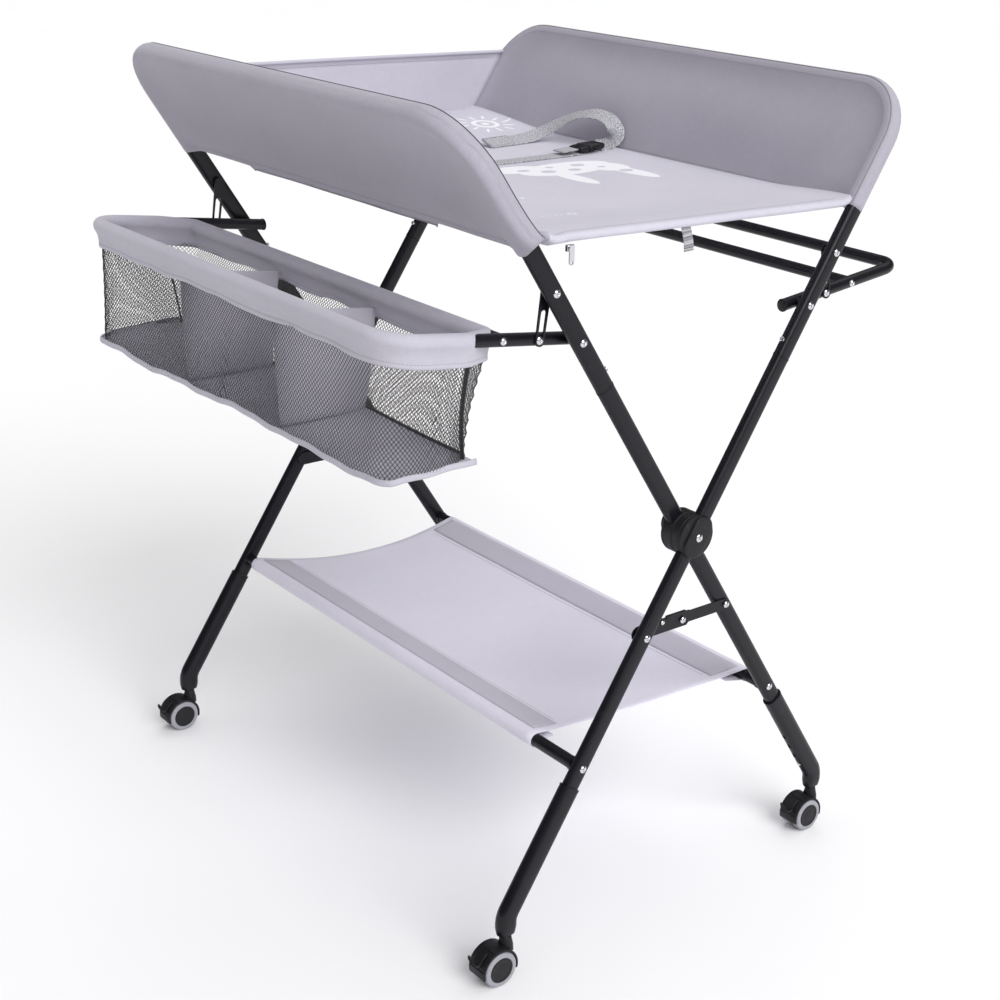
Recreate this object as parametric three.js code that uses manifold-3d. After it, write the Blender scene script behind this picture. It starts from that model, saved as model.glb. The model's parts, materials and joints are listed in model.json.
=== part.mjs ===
// Folding baby changing table: two crossed tube frames, cloth bed with side wings, mesh basket,
// towel rack, cloth shelf, telescopic feet and four braked twin-wheel casters.
// Millimetres, +Z up. +X runs along the bed, -Y is the basket side, +Y the towel-rack side.
// The origin is on the floor at the middle of the whole object's box.
import * as THREE from 'three';
import * as BufferGeometryUtils from 'three/addons/utils/BufferGeometryUtils.js';
import Module from 'manifold-3d';

const wasm = await Module();
wasm.setup();

// ---- driving dimensions ----
const SPLAY = THREE.MathUtils.degToRad(33); // lean of each frame from the vertical
const HUB_Z = 496; // height of the axis that both frames turn on
const HALF_A = 390; // leg centres of the outer frame, from the middle
const HALF_B = 370; // leg centres of the inner frame
const GAP = 0.3; // clearance between pieces that touch

// flat-oval tubes: half width in the fold plane, half thickness along X, wall
const LEG = { wide: 11.5, thin: 7, wall: 1.3 };
const SPIGOT = { wide: 9.8, thin: 5.3, wall: 1.2 };
const SLEEVE = { wide: 13.6, thin: 9.1, wall: 1.3 };
const ROD_R = 8; // shelf rods
const RAIL_R = 7.5; // rack and basket rails
const RAIL_WALL = 1.5;

// stations along a leg, measured from the hub, positive upwards
const WING_TOP = 606;
const WING_BEND = 72;
const WING_FOOT = 438;
const STAY_AT = 382;
const PIVOT_AT = 310;
const SNAP_AT = 258;
const SEAM_AT = 239;
const SPIGOT_TOP = 275;
const BRACE_AT = -134;
const ROD_AT = -304;
const SLEEVE_TOP = -329;
const LEG_END = -480;
const FOOT_BEND = -496;
const FOOT_BEND_R = 30;
const FOOT_Z = 58; // underside of the foot, above the floor

// cloth
const BED = { z: 872, thick: 8, halfX: 391, halfY: 222 };
const WING_THICK = 10;
const END_TOP_Z = 972;
const TAB_LONG = 26;
const ZIP = { x: 396, y: -206, z: BED.z + 1 }; // where the zip pull hangs
const SHELF = { fromX: -362, toX: 318, sag: 22, thick: 3 };

// rack and basket, measured outwards from their pivots on the legs
const RAIL_TILT = THREE.MathUtils.degToRad(7);
const ARM_TAIL = 20; // arm length on the inner side of the pivot
const CROSS_AT = 95;
const RACK_REACH = 186;
const RACK_BEND = 24;
const BASKET_REACH = 234;
const BASKET_BEND = 42;
const ARM_X = -20.4; // arm centres, from the leg centre inwards
const BOSS_TO = -LEG.thin - GAP;
const BOSS_R = 6;
const STAY_X = [-12.5, -10.7];
const STAY = { r: 7, chamfer: 3, long: 62, slotFrom: 25, slotTo: 55, slotR: 3.6, pinAt: 47 };
const BAG = { bottomZ: 628, wall: 3, skin: 7, halfX: 357, halfDivider: 118 };

// casters
const WHEEL = { r: 22, inner: 3.5, outer: 16.5 };
const TRAIL = 17; // wheel axle behind the swivel axis
const HOOD_R = 25.2;
const HOOD_HALF = 15.4;
const STEM = { r: 5, from: 30, to: 72 };
const NECK = { top: 6.5, foot: 9, from: 39, to: 53 };
const PEDAL = { from: 126, toes: 148, to: 160, half: 8 }; // degrees round the axle
const BUTTON_R = 3.2;
const FOOT_BUTTON_AT = -466;
const FOOT_HOLES = 4;
const FOOT_HOLE_PITCH = 21;

// hubs and the locking braces under them
const HUB = { r: 27, saddleLong: 33, saddleWide: 15.5, split: 380 };
const BRACE = { half: 9.5, halfB: 7.5, midY: -2, past: 12 };
const BRACE_A_X = [379.1, 380.7];
const BRACE_B_X = [377.3, 378.8];
const BRACE_LIP = { fromY: 44, toY: 76, lowZ: 8, highZ: 11.5, outX: 382.6 };
const DRUM_A_TO = 397;
const SADDLE_A_TO = 401;
const DRUM_B_FROM = 361;
const SADDLE_B_FROM = 355;
const BOLT = { r: 4, from: 351, to: 402, nutR: 6.5, nutFrom: 349, nutTo: 354.4, headR: 5, headTo: 403 };

const BLACK = { color: 0x232327, roughness: 0.45, metalness: 0.2 };
const PLASTIC = { color: 0x1b1b1e, roughness: 0.55, metalness: 0 };
const STEEL = { color: 0xb9bbc0, roughness: 0.3, metalness: 0.9 };
const CLOTH = { color: 0xb6b0c2, roughness: 0.9, metalness: 0 };
const MESH_BLACK = { color: 0x3a3940, roughness: 0.9, metalness: 0 };
const WEBBING = { color: 0xa9a9ad, roughness: 0.8, metalness: 0 };
const TYRE = { color: 0x9a9aa2, roughness: 0.6, metalness: 0 };

const sinS = Math.sin(SPLAY);
const cosS = Math.cos(SPLAY);
const v3 = (x, y, z) => new THREE.Vector3(x, y, z);
const stayDrop = v3(0, (STAY_AT - PIVOT_AT) * sinS, (STAY_AT - PIVOT_AT) * cosS);
const braceY = Math.abs(BRACE_AT) * sinS;
const braceZ = HUB_Z + BRACE_AT * cosS;

// ---- solids: every boolean goes through these ----
function toSolid(geometry) {
  const bare = geometry.clone();
  bare.deleteAttribute('normal');
  bare.deleteAttribute('uv');
  const merged = BufferGeometryUtils.mergeVertices(bare, 1e-3);
  const vertProperties = new Float32Array(merged.attributes.position.array);
  const triVerts = new Uint32Array(merged.index.array);
  return new wasm.Manifold(new wasm.Mesh({ numProp: 3, vertProperties, triVerts }));
}

function toGeometry(solid) {
  const mesh = solid.getMesh();
  const geometry = new THREE.BufferGeometry();
  geometry.setAttribute('position', new THREE.BufferAttribute(mesh.vertProperties, 3));
  geometry.setIndex(new THREE.BufferAttribute(mesh.triVerts, 1));
  geometry.computeVertexNormals();
  return geometry;
}

// joins the first list of geometries and cuts the second list out of the result
function carve(added, removed = []) {
  let solid = added.map(toSolid).reduce((whole, next) => whole.add(next));
  for (const tool of removed) solid = solid.subtract(toSolid(tool));
  return toGeometry(solid);
}

// ---- basic shapes ----
// outline with two half-round ends; its long way is the shape's x
function ovalOutline(halfLong, halfShort, perEnd = 6) {
  const points = [];
  for (const side of [1, -1]) {
    for (let i = 0; i <= perEnd; i += 1) {
      const angle = (i / perEnd - 0.5) * Math.PI + (side > 0 ? 0 : Math.PI);
      points.push(new THREE.Vector2(
        side * (halfLong - halfShort) + halfShort * Math.cos(angle),
        halfShort * Math.sin(angle),
      ));
    }
  }
  return points;
}

function ovalShape(tube, wall = tube.wall) {
  const shape = new THREE.Shape(ovalOutline(tube.wide, tube.thin));
  if (wall) shape.holes.push(new THREE.Path(ovalOutline(tube.wide - wall, tube.thin - wall)));
  return shape;
}

function roundShape(radius, wall = 0, sides = 12) {
  const ring = (r) => Array.from({ length: sides }, (_, i) => new THREE.Vector2(
    r * Math.cos((2 * Math.PI * i) / sides),
    r * Math.sin((2 * Math.PI * i) / sides),
  ));
  const shape = new THREE.Shape(ring(radius));
  if (wall) shape.holes.push(new THREE.Path(ring(radius - wall)));
  return shape;
}

// a route through given points, one extrusion step to each stretch
class BentRoute extends THREE.Curve {
  constructor(points) {
    super();
    this.points = points;
  }

  getUtoTmapping(u) {
    return u;
  }

  getPoint(t, target = new THREE.Vector3()) {
    const last = this.points.length - 1;
    const first = Math.min(Math.floor(t * last), last - 1);
    return target.lerpVectors(this.points[first], this.points[first + 1], t * last - first);
  }

  getTangent(t, target = new THREE.Vector3()) {
    const last = this.points.length - 1;
    const at = Math.round(t * last);
    const here = this.points[at];
    const before = this.points[Math.max(at - 1, 0)];
    const after = this.points[Math.min(at + 1, last)];
    target.set(0, 0, 0);
    if (at > 0) target.add(here.clone().sub(before).normalize());
    if (at < last) target.add(after.clone().sub(here).normalize());
    return target.normalize();
  }
}

// rounds each inner corner of a polyline with an arc
function rounded(corners, radius, steps) {
  const points = [corners[0]];
  for (let i = 1; i < corners.length - 1; i += 1) {
    const back = corners[i - 1].clone().sub(corners[i]).normalize();
    const on = corners[i + 1].clone().sub(corners[i]).normalize();
    const half = back.angleTo(on) / 2;
    const start = corners[i].clone().addScaledVector(back, radius / Math.tan(half));
    const inward = back.clone().add(on).normalize();
    const centre = corners[i].clone().addScaledVector(inward, radius / Math.sin(half));
    const axis = back.clone().cross(on).normalize().negate();
    const arm = start.clone().sub(centre);
    for (let k = 0; k <= steps; k += 1) {
      const turn = (k / steps) * (Math.PI - 2 * half);
      points.push(centre.clone().add(arm.clone().applyAxisAngle(axis, turn)));
    }
  }
  points.push(corners[corners.length - 1]);
  return points;
}

function tubeAlong(points, shape) {
  const extrudePath = new BentRoute(points);
  return new THREE.ExtrudeGeometry(shape, { steps: points.length - 1, extrudePath });
}

function cylinderX(radius, fromX, toX, sides = 12, endRadius = radius) {
  const geometry = new THREE.CylinderGeometry(endRadius, radius, toX - fromX, sides);
  geometry.rotateZ(-Math.PI / 2);
  return geometry.translate((fromX + toX) / 2, 0, 0);
}

function boxBetween(low, high) {
  const size = high.clone().sub(low);
  const middle = high.clone().add(low).multiplyScalar(0.5);
  return new THREE.BoxGeometry(size.x, size.y, size.z).translate(middle.x, middle.y, middle.z);
}

// a flat plate: outline in (y, z), thickness along X from fromX to toX
function plateX(shape, fromX, toX) {
  const geometry = new THREE.ExtrudeGeometry(shape, {
    depth: toX - fromX, bevelEnabled: false, curveSegments: 5,
  });
  geometry.applyMatrix4(new THREE.Matrix4().makeBasis(v3(0, 1, 0), v3(0, 0, 1), v3(1, 0, 0)));
  return geometry.translate(fromX, 0, 0);
}

// the same, mirrored to the far end of the table when side is -1
function plateOnSide(side, shape, fromX, toX) {
  return side > 0 ? plateX(shape, fromX, toX) : plateX(shape, -toX, -fromX);
}

function cylinderOnSide(side, radius, fromX, toX, sides = 12) {
  return side > 0 ? cylinderX(radius, fromX, toX, sides) : cylinderX(radius, -toX, -fromX, sides);
}

// a low domed bolt head whose seat is at x on the outer face
function boltHead(side, x, y, z) {
  const head = cylinderX(4.4, -1, 1.8, 8, 3.2);
  if (side < 0) head.rotateZ(Math.PI);
  return head.translate(side * x, y, z);
}

// ---- scene graph ----
const table = new THREE.Group();

function addPart(parent, name, geometry, finish) {
  const mesh = new THREE.Mesh(geometry, new THREE.MeshStandardMaterial(finish));
  mesh.name = name;
  parent.add(mesh);
}

// each frame is drawn upright about the hub axis, then leaned over
function frameGroup(lean) {
  const group = new THREE.Group();
  group.position.set(0, 0, HUB_Z);
  group.rotation.x = lean;
  table.add(group);
  return group;
}

const FRAMES = [
  { key: 'a', half: HALF_A, toward: 1, group: frameGroup(-SPLAY) },
  { key: 'b', half: HALF_B, toward: -1, group: frameGroup(SPLAY) },
];
const ENDS = [{ key: 'near', side: 1 }, { key: 'far', side: -1 }];

// world place of a station on a leg
const legPoint = (frame, side, station) => v3(
  side * frame.half,
  frame.toward * station * sinS,
  HUB_Z + station * cosS,
);

// ---- frames ----
function topTube({ half, toward }) {
  const corners = [
    v3(-half, 0, SEAM_AT + GAP), v3(-half, 0, WING_TOP), v3(half, 0, WING_TOP), v3(half, 0, SEAM_AT + GAP),
  ];
  const added = [tubeAlong(rounded(corners, WING_BEND, 6), ovalShape(LEG))];
  const removed = [];
  for (const { side } of ENDS) {
    added.push(boltHead(side, half + LEG.thin, 0, STAY_AT));
    added.push(boltHead(side, half + LEG.thin, 0, PIVOT_AT));
    const hole = new THREE.CylinderGeometry(BUTTON_R + GAP, BUTTON_R + GAP, 12, 8);
    removed.push(hole.translate(side * half, -toward * LEG.wide, SNAP_AT));
  }
  return carve(added, removed);
}

function lowerLeg({ half, toward }, side) {
  const centre = (from, to) => [v3(side * half, 0, from), v3(side * half, 0, to)];
  const collar = { wide: LEG.wide - 0.8, thin: LEG.thin - 0.8, wall: 2.4 };
  const added = [
    tubeAlong(centre(LEG_END, SEAM_AT), ovalShape(LEG)),
    tubeAlong(centre(SEAM_AT - 14, SEAM_AT - 4), ovalShape(collar)),
    tubeAlong(centre(SEAM_AT - 14, SPIGOT_TOP), ovalShape(SPIGOT)),
    boltHead(side, half + LEG.thin, 0, ROD_AT),
  ];
  if (toward > 0) added.push(boltHead(side, half + LEG.thin, 0, BRACE_AT));
  const buttonHole = () => new THREE.CylinderGeometry(BUTTON_R + GAP, BUTTON_R + GAP, 12, 8);
  const removed = [
    cylinderX(4.3, -15, 15).translate(side * half, 0, 0),
    buttonHole().translate(side * half, -toward * SPIGOT.wide, SNAP_AT),
    buttonHole().translate(side * half, toward * LEG.wide, FOOT_BUTTON_AT),
  ];
  return carve(added, removed);
}

// snap buttons stand in the upper joints; the feet have the same button under the leg
function snapButton({ half, toward }, side, station, outward, headAt) {
  const height = 6.5;
  const button = new THREE.CylinderGeometry(BUTTON_R, BUTTON_R, height, 8);
  return button.translate(side * half, outward * (headAt - height / 2), station);
}

function rod({ half }) {
  const end = half - LEG.thin - GAP;
  return tubeAlong([v3(-end, 0, ROD_AT), v3(end, 0, ROD_AT)], roundShape(ROD_R, RAIL_WALL));
}

// cloth wing inside its tube loop, with the loop's own corners
function wing({ half }) {
  const edge = half - LEG.thin - 1;
  const top = WING_TOP - LEG.thin - 1;
  const bend = WING_BEND - LEG.thin - 1;
  const outline = rounded(
    [v3(-edge, WING_FOOT, 0), v3(-edge, top, 0), v3(edge, top, 0), v3(edge, WING_FOOT, 0)], bend, 6,
  );
  const shape = new THREE.Shape(outline.map((p) => new THREE.Vector2(p.x, p.y)));
  const geometry = new THREE.ExtrudeGeometry(shape, { depth: WING_THICK, bevelEnabled: false });
  return geometry.rotateX(Math.PI / 2).translate(0, WING_THICK / 2, 0);
}

// ---- hubs: one half on each leg, and the outer one carries the pivot bolt ----
function hubBody(side, frame, drumFrom, drumTo, saddleFrom, saddleTo) {
  const saddle = new THREE.Shape(ovalOutline(HUB.saddleLong, HUB.saddleWide, 6).map(
    (p) => new THREE.Vector2(p.y, p.x),
  ));
  const channel = tubeAlong(
    [v3(side * frame.half, 0, -60), v3(side * frame.half, 0, 60)],
    ovalShape({ wide: LEG.wide + GAP, thin: LEG.thin + GAP }, 0),
  );
  const added = [
    cylinderOnSide(side, HUB.r, drumFrom, drumTo, 24),
    plateOnSide(side, saddle, saddleFrom, saddleTo),
  ];
  return { added, channel };
}

function outerHub(side, frame) {
  const inside = HUB.split + GAP / 2;
  const { added, channel } = hubBody(side, frame, inside, DRUM_A_TO, inside, SADDLE_A_TO);
  const shell = carve(added, [channel]);
  const bolt = [
    cylinderOnSide(side, BOLT.r, BOLT.from, BOLT.to),
    cylinderOnSide(side, BOLT.nutR, BOLT.nutFrom, BOLT.nutTo, 6),
    cylinderOnSide(side, BOLT.headR, SADDLE_A_TO - 0.5, BOLT.headTo, 14),
  ];
  return carve([shell, ...bolt]);
}

function innerHub(side, frame) {
  const inside = HUB.split - GAP / 2;
  const { added, channel } = hubBody(side, frame, DRUM_B_FROM, inside, SADDLE_B_FROM, inside);
  return carve(added, [channel, cylinderOnSide(side, BOLT.r + GAP, SADDLE_B_FROM - 10, inside + 5)]);
}

// ---- locking braces under the hubs ----
function barShape(length, halfFrom, halfTo, roundTo) {
  const shape = new THREE.Shape();
  shape.absarc(0, 0, halfFrom, Math.PI / 2, (3 * Math.PI) / 2, false);
  if (roundTo) {
    shape.absarc(length, 0, halfTo, -Math.PI / 2, Math.PI / 2, false);
  } else {
    shape.lineTo(length - 4, -halfTo);
    shape.lineTo(length, -halfTo + 4);
    shape.lineTo(length, halfTo);
  }
  shape.closePath();
  return shape;
}

function braceA(side) {
  const length = braceY + BRACE.midY;
  const plate = plateOnSide(
    side, barShape(length + BRACE.past, BRACE.half, BRACE.half, false), ...BRACE_A_X,
  );
  const lipX = [side * BRACE_A_X[0], side * BRACE_LIP.outX].sort((a, b) => a - b);
  const lip = boxBetween(
    v3(lipX[0], BRACE_LIP.fromY, BRACE_LIP.lowZ), v3(lipX[1], BRACE_LIP.toY, BRACE_LIP.highZ),
  );
  const rivets = [
    cylinderOnSide(side, 4.2, 380, 382.5, 12).translate(0, length, 0),
    cylinderOnSide(side, 2.6, 380, 382.2, 10).translate(0, 38, 5),
  ];
  return carve([plate, lip, ...rivets]).translate(0, -braceY, braceZ);
}

function braceB(side) {
  const length = braceY - BRACE.midY;
  const shape = barShape(length, BRACE.halfB, BRACE.halfB, true);
  const plate = plateOnSide(side, shape, ...BRACE_B_X).rotateX(Math.PI);
  const head = cylinderOnSide(side, 4.2, 378.2, 380.6, 12);
  return carve([plate, head]).translate(0, braceY, braceZ);
}

// ---- rack and basket rails: drawn outwards along +Y from the pivots on the legs ----

function railLoop({ half }, reach, bend) {
  const armX = half + ARM_X;
  const corners = [
    v3(armX, -ARM_TAIL, 0), v3(armX, reach, 0), v3(-armX, reach, 0), v3(-armX, -ARM_TAIL, 0),
  ];
  const added = [
    tubeAlong(rounded(corners, bend, 4), roundShape(RAIL_R, RAIL_WALL)),
    tubeAlong([v3(-armX, CROSS_AT, 0), v3(armX, CROSS_AT, 0)], roundShape(RAIL_R, 0)),
  ];
  for (const { side } of ENDS) {
    const boss = cylinderOnSide(side, BOSS_R, half + ARM_X + 4, half + BOSS_TO);
    const head = cylinderOnSide(side, 3.4, half + ARM_X + 5, half + ARM_X + 9, 12);
    added.push(boss, head.translate(0, CROSS_AT, 0));
  }
  return carve(added);
}

// slotted stay from the upper leg bolt; its top is at the bolt and it hangs towards the arm
function stay({ half }, side) {
  const { r, chamfer, long, slotFrom, slotTo, slotR, pinAt } = STAY;
  const shape = new THREE.Shape();
  shape.absarc(0, 0, r, 0, Math.PI, false);
  shape.lineTo(-r, -long + chamfer);
  shape.lineTo(-r + chamfer, -long);
  shape.lineTo(r - chamfer, -long);
  shape.lineTo(r, -long + chamfer);
  shape.closePath();
  const slot = new THREE.Path();
  slot.absarc(0, -slotFrom, slotR, 0, Math.PI, false);
  slot.absarc(0, -slotTo, slotR, Math.PI, 2 * Math.PI, false);
  slot.closePath();
  shape.holes.push(slot);
  const plate = plateOnSide(side, shape, half + STAY_X[0], half + STAY_X[1]);
  const boss = cylinderOnSide(side, 5.5, half + STAY_X[1] - 0.5, half + BOSS_TO);
  const rest = Math.atan2(
    pinAt * Math.cos(RAIL_TILT) - stayDrop.y,
    stayDrop.z - pinAt * Math.sin(RAIL_TILT),
  );
  return carve([plate, boss]).rotateX(rest);
}

// mesh basket: an open box in three bays, its rim cut to lie just under the rails
function bag() {
  const drop = BAG.bottomZ - (HUB_Z + PIVOT_AT * cosS);
  const back = CROSS_AT - BAG.skin + 1;
  const front = BASKET_REACH * Math.cos(RAIL_TILT) + BAG.skin;
  const rim = 60;
  const bend = BASKET_BEND;
  const plan = (inset) => {
    const x = BAG.halfX - inset;
    const corners = [
      v3(-x, back + inset, 0), v3(-x, front - inset, 0), v3(x, front - inset, 0), v3(x, back + inset, 0),
    ];
    const points = rounded(corners, bend - inset, 5);
    return new THREE.Shape(points.map((p) => new THREE.Vector2(p.x, p.y)));
  };
  const outer = new THREE.ExtrudeGeometry(plan(0), { depth: rim - drop, bevelEnabled: false });
  const inner = new THREE.ExtrudeGeometry(plan(BAG.wall), { depth: rim - drop, bevelEnabled: false });
  const dividers = [-1, 1].map((place) => boxBetween(
    v3(place * BAG.halfDivider - BAG.wall / 2, back + 1, drop + 1),
    v3(place * BAG.halfDivider + BAG.wall / 2, front - 1, rim - 1),
  ));
  const shell = carve([outer.translate(0, 0, drop)], [inner.translate(0, 0, drop + BAG.wall)]);
  const above = boxBetween(v3(-500, -500, -RAIL_R - 0.8), v3(500, 500, 400)).rotateX(RAIL_TILT);
  return carve([shell, ...dividers], [above]);
}

function addOutrigger(frame, name, reach, bend) {
  const place = legPoint(frame, 0, PIVOT_AT);
  const group = new THREE.Group();
  group.position.copy(place);
  group.rotation.z = frame.toward > 0 ? 0 : Math.PI;
  table.add(group);
  const tilted = new THREE.Group();
  tilted.rotation.x = RAIL_TILT;
  group.add(tilted);
  addPart(tilted, `${name}_rails`, railLoop(frame, reach, bend), BLACK);
  for (const { key, side } of ENDS) {
    // turning the basket group about Z swaps its ends
    const localSide = frame.toward > 0 ? side : -side;
    const geometry = stay(frame, localSide).translate(0, stayDrop.y, stayDrop.z);
    addPart(group, `${name}_stay_${key}`, geometry, BLACK);
  }
  return group;
}

// ---- feet: sleeves over the leg ends, bent upright above the casters ----
function footSleeve({ half, toward }, side) {
  const x = side * half;
  const down = v3(0, toward * sinS, -cosS);
  const knee = v3(x, 0, FOOT_BEND);
  const drop = HUB_Z + FOOT_BEND * cosS - FOOT_Z;
  const route = [v3(x, 0, SLEEVE_TOP), knee, knee.clone().addScaledVector(down, drop)];
  const plugFrom = knee.clone().addScaledVector(down, 4);
  const plugTo = knee.clone().addScaledVector(down, drop + 2);
  const plug = { wide: SLEEVE.wide - 0.8, thin: SLEEVE.thin - 0.8 };
  const boreFrom = knee.clone().addScaledVector(down, 7);
  const boreTo = knee.clone().addScaledVector(down, drop + 5);
  const removed = [tubeAlong([boreFrom, boreTo], roundShape(5.4, 0, 12))];
  for (let i = 0; i < FOOT_HOLES; i += 1) {
    const hole = new THREE.CylinderGeometry(BUTTON_R + GAP, BUTTON_R + GAP, 8, 8);
    const station = FOOT_BUTTON_AT + i * FOOT_HOLE_PITCH;
    removed.push(hole.translate(x, toward * SLEEVE.wide, station));
  }
  const tube = tubeAlong(rounded(route, FOOT_BEND_R, 3), ovalShape(SLEEVE));
  return carve([tube, tubeAlong([plugFrom, plugTo], ovalShape(plug, 0))], removed);
}

// ---- casters: swivel axis at the origin, wheels trailing towards -Y ----
const upright = (top, foot, from, to) => new THREE.CylinderGeometry(top, foot, to - from, 12)
  .rotateX(Math.PI / 2).translate(0, 0, (from + to) / 2);

function hood() {
  const onAxle = (radius, from, to, sides) => cylinderX(radius, from, to, sides)
    .translate(0, -TRAIL, WHEEL.r);
  const stem = upright(STEM.r, STEM.r, STEM.from, STEM.to);
  const neck = upright(NECK.top, NECK.foot, NECK.from, NECK.to);
  const pocketTo = HOOD_HALF + 4;
  const pockets = [[3.2, pocketTo], [-pocketTo, -3.2]].map(
    ([from, to]) => onAxle(WHEEL.r + 0.8, from, to, 24),
  );
  const below = boxBetween(v3(-30, -60, -10), v3(30, 40, WHEEL.r - 6));
  const bore = onAxle(WHEEL.inner - 0.2, -30, 30);
  return carve([onAxle(HOOD_R, -HOOD_HALF, HOOD_HALF, 24), stem, neck], [...pockets, below, bore]);
}

function wheelPair() {
  const { r, inner, outer } = WHEEL;
  const half = [
    [2.9, inner], [r, inner], [r, outer - 2], [r - 2, outer], [14.6, outer - 1.5], [0, outer - 1],
  ];
  const profile = [
    ...half.slice().reverse().map(([x, y]) => new THREE.Vector2(x, -y)),
    ...half.map(([x, y]) => new THREE.Vector2(x, y)),
  ];
  const geometry = new THREE.LatheGeometry(profile, 20).rotateY(Math.PI / 20);
  return geometry.rotateZ(-Math.PI / 2).translate(0, -TRAIL, r);
}

// band round the wheel axle between two angles and two radii
function hoodBand(fromDeg, toDeg, inner, outer) {
  const from = THREE.MathUtils.degToRad(fromDeg);
  const to = THREE.MathUtils.degToRad(toDeg);
  const shape = new THREE.Shape();
  shape.absarc(0, 0, outer, from, to, false);
  shape.absarc(0, 0, inner, to, from, true);
  shape.closePath();
  return shape;
}

// brake pedal: a shoe that slides round the hood, with two toes
function brakePedal() {
  const shoe = hoodBand(PEDAL.from, PEDAL.to, HOOD_R + 0.5, HOOD_R + 3);
  const toe = hoodBand(PEDAL.toes, PEDAL.to, HOOD_R + 1, HOOD_R + 6.5);
  const toes = [[-11, -4], [4, 11]].map(([low, high]) => plateX(toe, low, high));
  return carve([plateX(shoe, -PEDAL.half, PEDAL.half), ...toes]).translate(0, -TRAIL, WHEEL.r);
}

function addCaster(frame, end) {
  const group = new THREE.Group();
  const foot = legPoint(frame, end.side, FOOT_BEND);
  group.position.set(foot.x, foot.y, 0);
  table.add(group);
  const tag = `${frame.key}_${end.key}`;
  addPart(group, `caster_hood_${tag}`, hood(), PLASTIC);
  addPart(group, `caster_wheels_${tag}`, wheelPair(), TYRE);
  addPart(group, `brake_pedal_${tag}`, brakePedal(), PLASTIC);
}

// ---- cloth ----
function bed() {
  const low = v3(-BED.halfX, -BED.halfY, BED.z - BED.thick);
  const size = v3(2 * BED.halfX, 2 * BED.halfY, BED.thick);
  const slab = new THREE.BoxGeometry(size.x, size.y, size.z, 4, 1, 1);
  return slab.translate(0, 0, low.z + size.z / 2);
}

// low cloth wall across the far end, between the two wings
function endPanel() {
  const reach = (z) => (z - HUB_Z) * Math.tan(SPLAY) - 17;
  const low = BED.z + 4;
  const shape = new THREE.Shape();
  shape.moveTo(-reach(low), low);
  shape.lineTo(reach(low), low);
  shape.lineTo(reach(END_TOP_Z), END_TOP_Z);
  shape.lineTo(-reach(END_TOP_Z), END_TOP_Z);
  shape.closePath();
  return plateX(shape, -HALF_A, -HALF_A + 4);
}

// the shelf hangs in a shallow curve from rod to rod
function shelf() {
  const rodY = Math.abs(ROD_AT) * sinS - ROD_R - 1;
  const z = HUB_Z + ROD_AT * cosS;
  const steps = 12;
  const along = (k) => -rodY + (2 * rodY * k) / steps;
  const dip = (y) => z - SHELF.sag * (1 - (y / rodY) ** 2);
  const points = [];
  for (let k = 0; k <= steps; k += 1) points.push(new THREE.Vector2(along(k), dip(along(k))));
  for (let k = steps; k >= 0; k -= 1) {
    points.push(new THREE.Vector2(along(k), dip(along(k)) - SHELF.thick));
  }
  return plateX(new THREE.Shape(points), SHELF.fromX, SHELF.toX);
}

// ---- waist belt: two webbing straps and a side-release buckle, lying on the bed ----
const STRAP = { wide: 25, thick: 1.4 };
const strapShape = () => new THREE.Shape([
  new THREE.Vector2(-STRAP.thick / 2, -STRAP.wide / 2),
  new THREE.Vector2(STRAP.thick / 2, -STRAP.wide / 2),
  new THREE.Vector2(STRAP.thick / 2, STRAP.wide / 2),
  new THREE.Vector2(-STRAP.thick / 2, STRAP.wide / 2),
]);

// long strap: sewn down at one end, then a loose arch towards the buckle
function longStrap() {
  const lie = BED.z + 1;
  const points = [v3(0, 80, lie), v3(0, 140, lie)];
  const arch = { from: 140, to: 226, rise: 44 };
  for (let k = 1; k <= 10; k += 1) {
    const share = k / 10;
    const lift = arch.rise * Math.sin(Math.PI * share) ** 1.5;
    points.push(v3(0, arch.from + (arch.to - arch.from) * share, lie + 1 + lift));
  }
  return tubeAlong(points, strapShape());
}

function shortStrap() {
  const lie = BED.z + 1;
  return boxBetween(
    v3(-STRAP.wide / 2, -200, lie - STRAP.thick / 2),
    v3(STRAP.wide / 2, 166, lie + STRAP.thick / 2),
  );
}

function buckleSocket() {
  const body = boxBetween(v3(-16, 0, 0), v3(16, 36, 9));
  const mouth = boxBetween(v3(-12, -1, 2), v3(12, 22, 7));
  const windows = [-1, 1].map((s) => boxBetween(v3(s * 16 - 3, 10, 2), v3(s * 16 + 3, 22, 7)));
  const bar = boxBetween(v3(-12.5, 27, -1), v3(12.5, 32, 10));
  return carve([body], [mouth, ...windows, bar]);
}

function bucklePlug() {
  const base = boxBetween(v3(-15, -18, 1), v3(15, -0.4, 8));
  const prongs = [-1, 0, 1].map((s) => boxBetween(v3(s * 8.5 - 2, -2, 3), v3(s * 8.5 + 2, 18, 6)));
  const bar = boxBetween(v3(-12.5, -13, 0), v3(12.5, -8, 9));
  return carve([base, ...prongs], [bar]);
}

function addBelt() {
  const placed = (x, y, turn = 0) => {
    const group = new THREE.Group();
    group.position.set(x, y, 0);
    group.rotation.z = turn;
    table.add(group);
    return group;
  };
  addPart(placed(-150, 0), 'belt_strap_long', longStrap(), WEBBING);
  addPart(placed(-55, 0), 'belt_strap_short', shortStrap(), WEBBING);
  const buckle = placed(-59, 186);
  buckle.position.z = BED.z + 0.6;
  addPart(buckle, 'buckle_socket', buckleSocket(), PLASTIC);
  addPart(buckle, 'buckle_plug', bucklePlug(), PLASTIC);
}

// ---- small trim under the near edge of the bed ----
function pullTab() {
  const strip = new THREE.Shape();
  strip.moveTo(-6, 0);
  strip.lineTo(6, 0);
  strip.lineTo(6, -TAB_LONG);
  strip.lineTo(-6, -TAB_LONG);
  strip.closePath();
  return plateX(strip, BED.halfX - 12, BED.halfX - 10).translate(0, -30, BED.z - BED.thick - 0.5);
}

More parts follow.
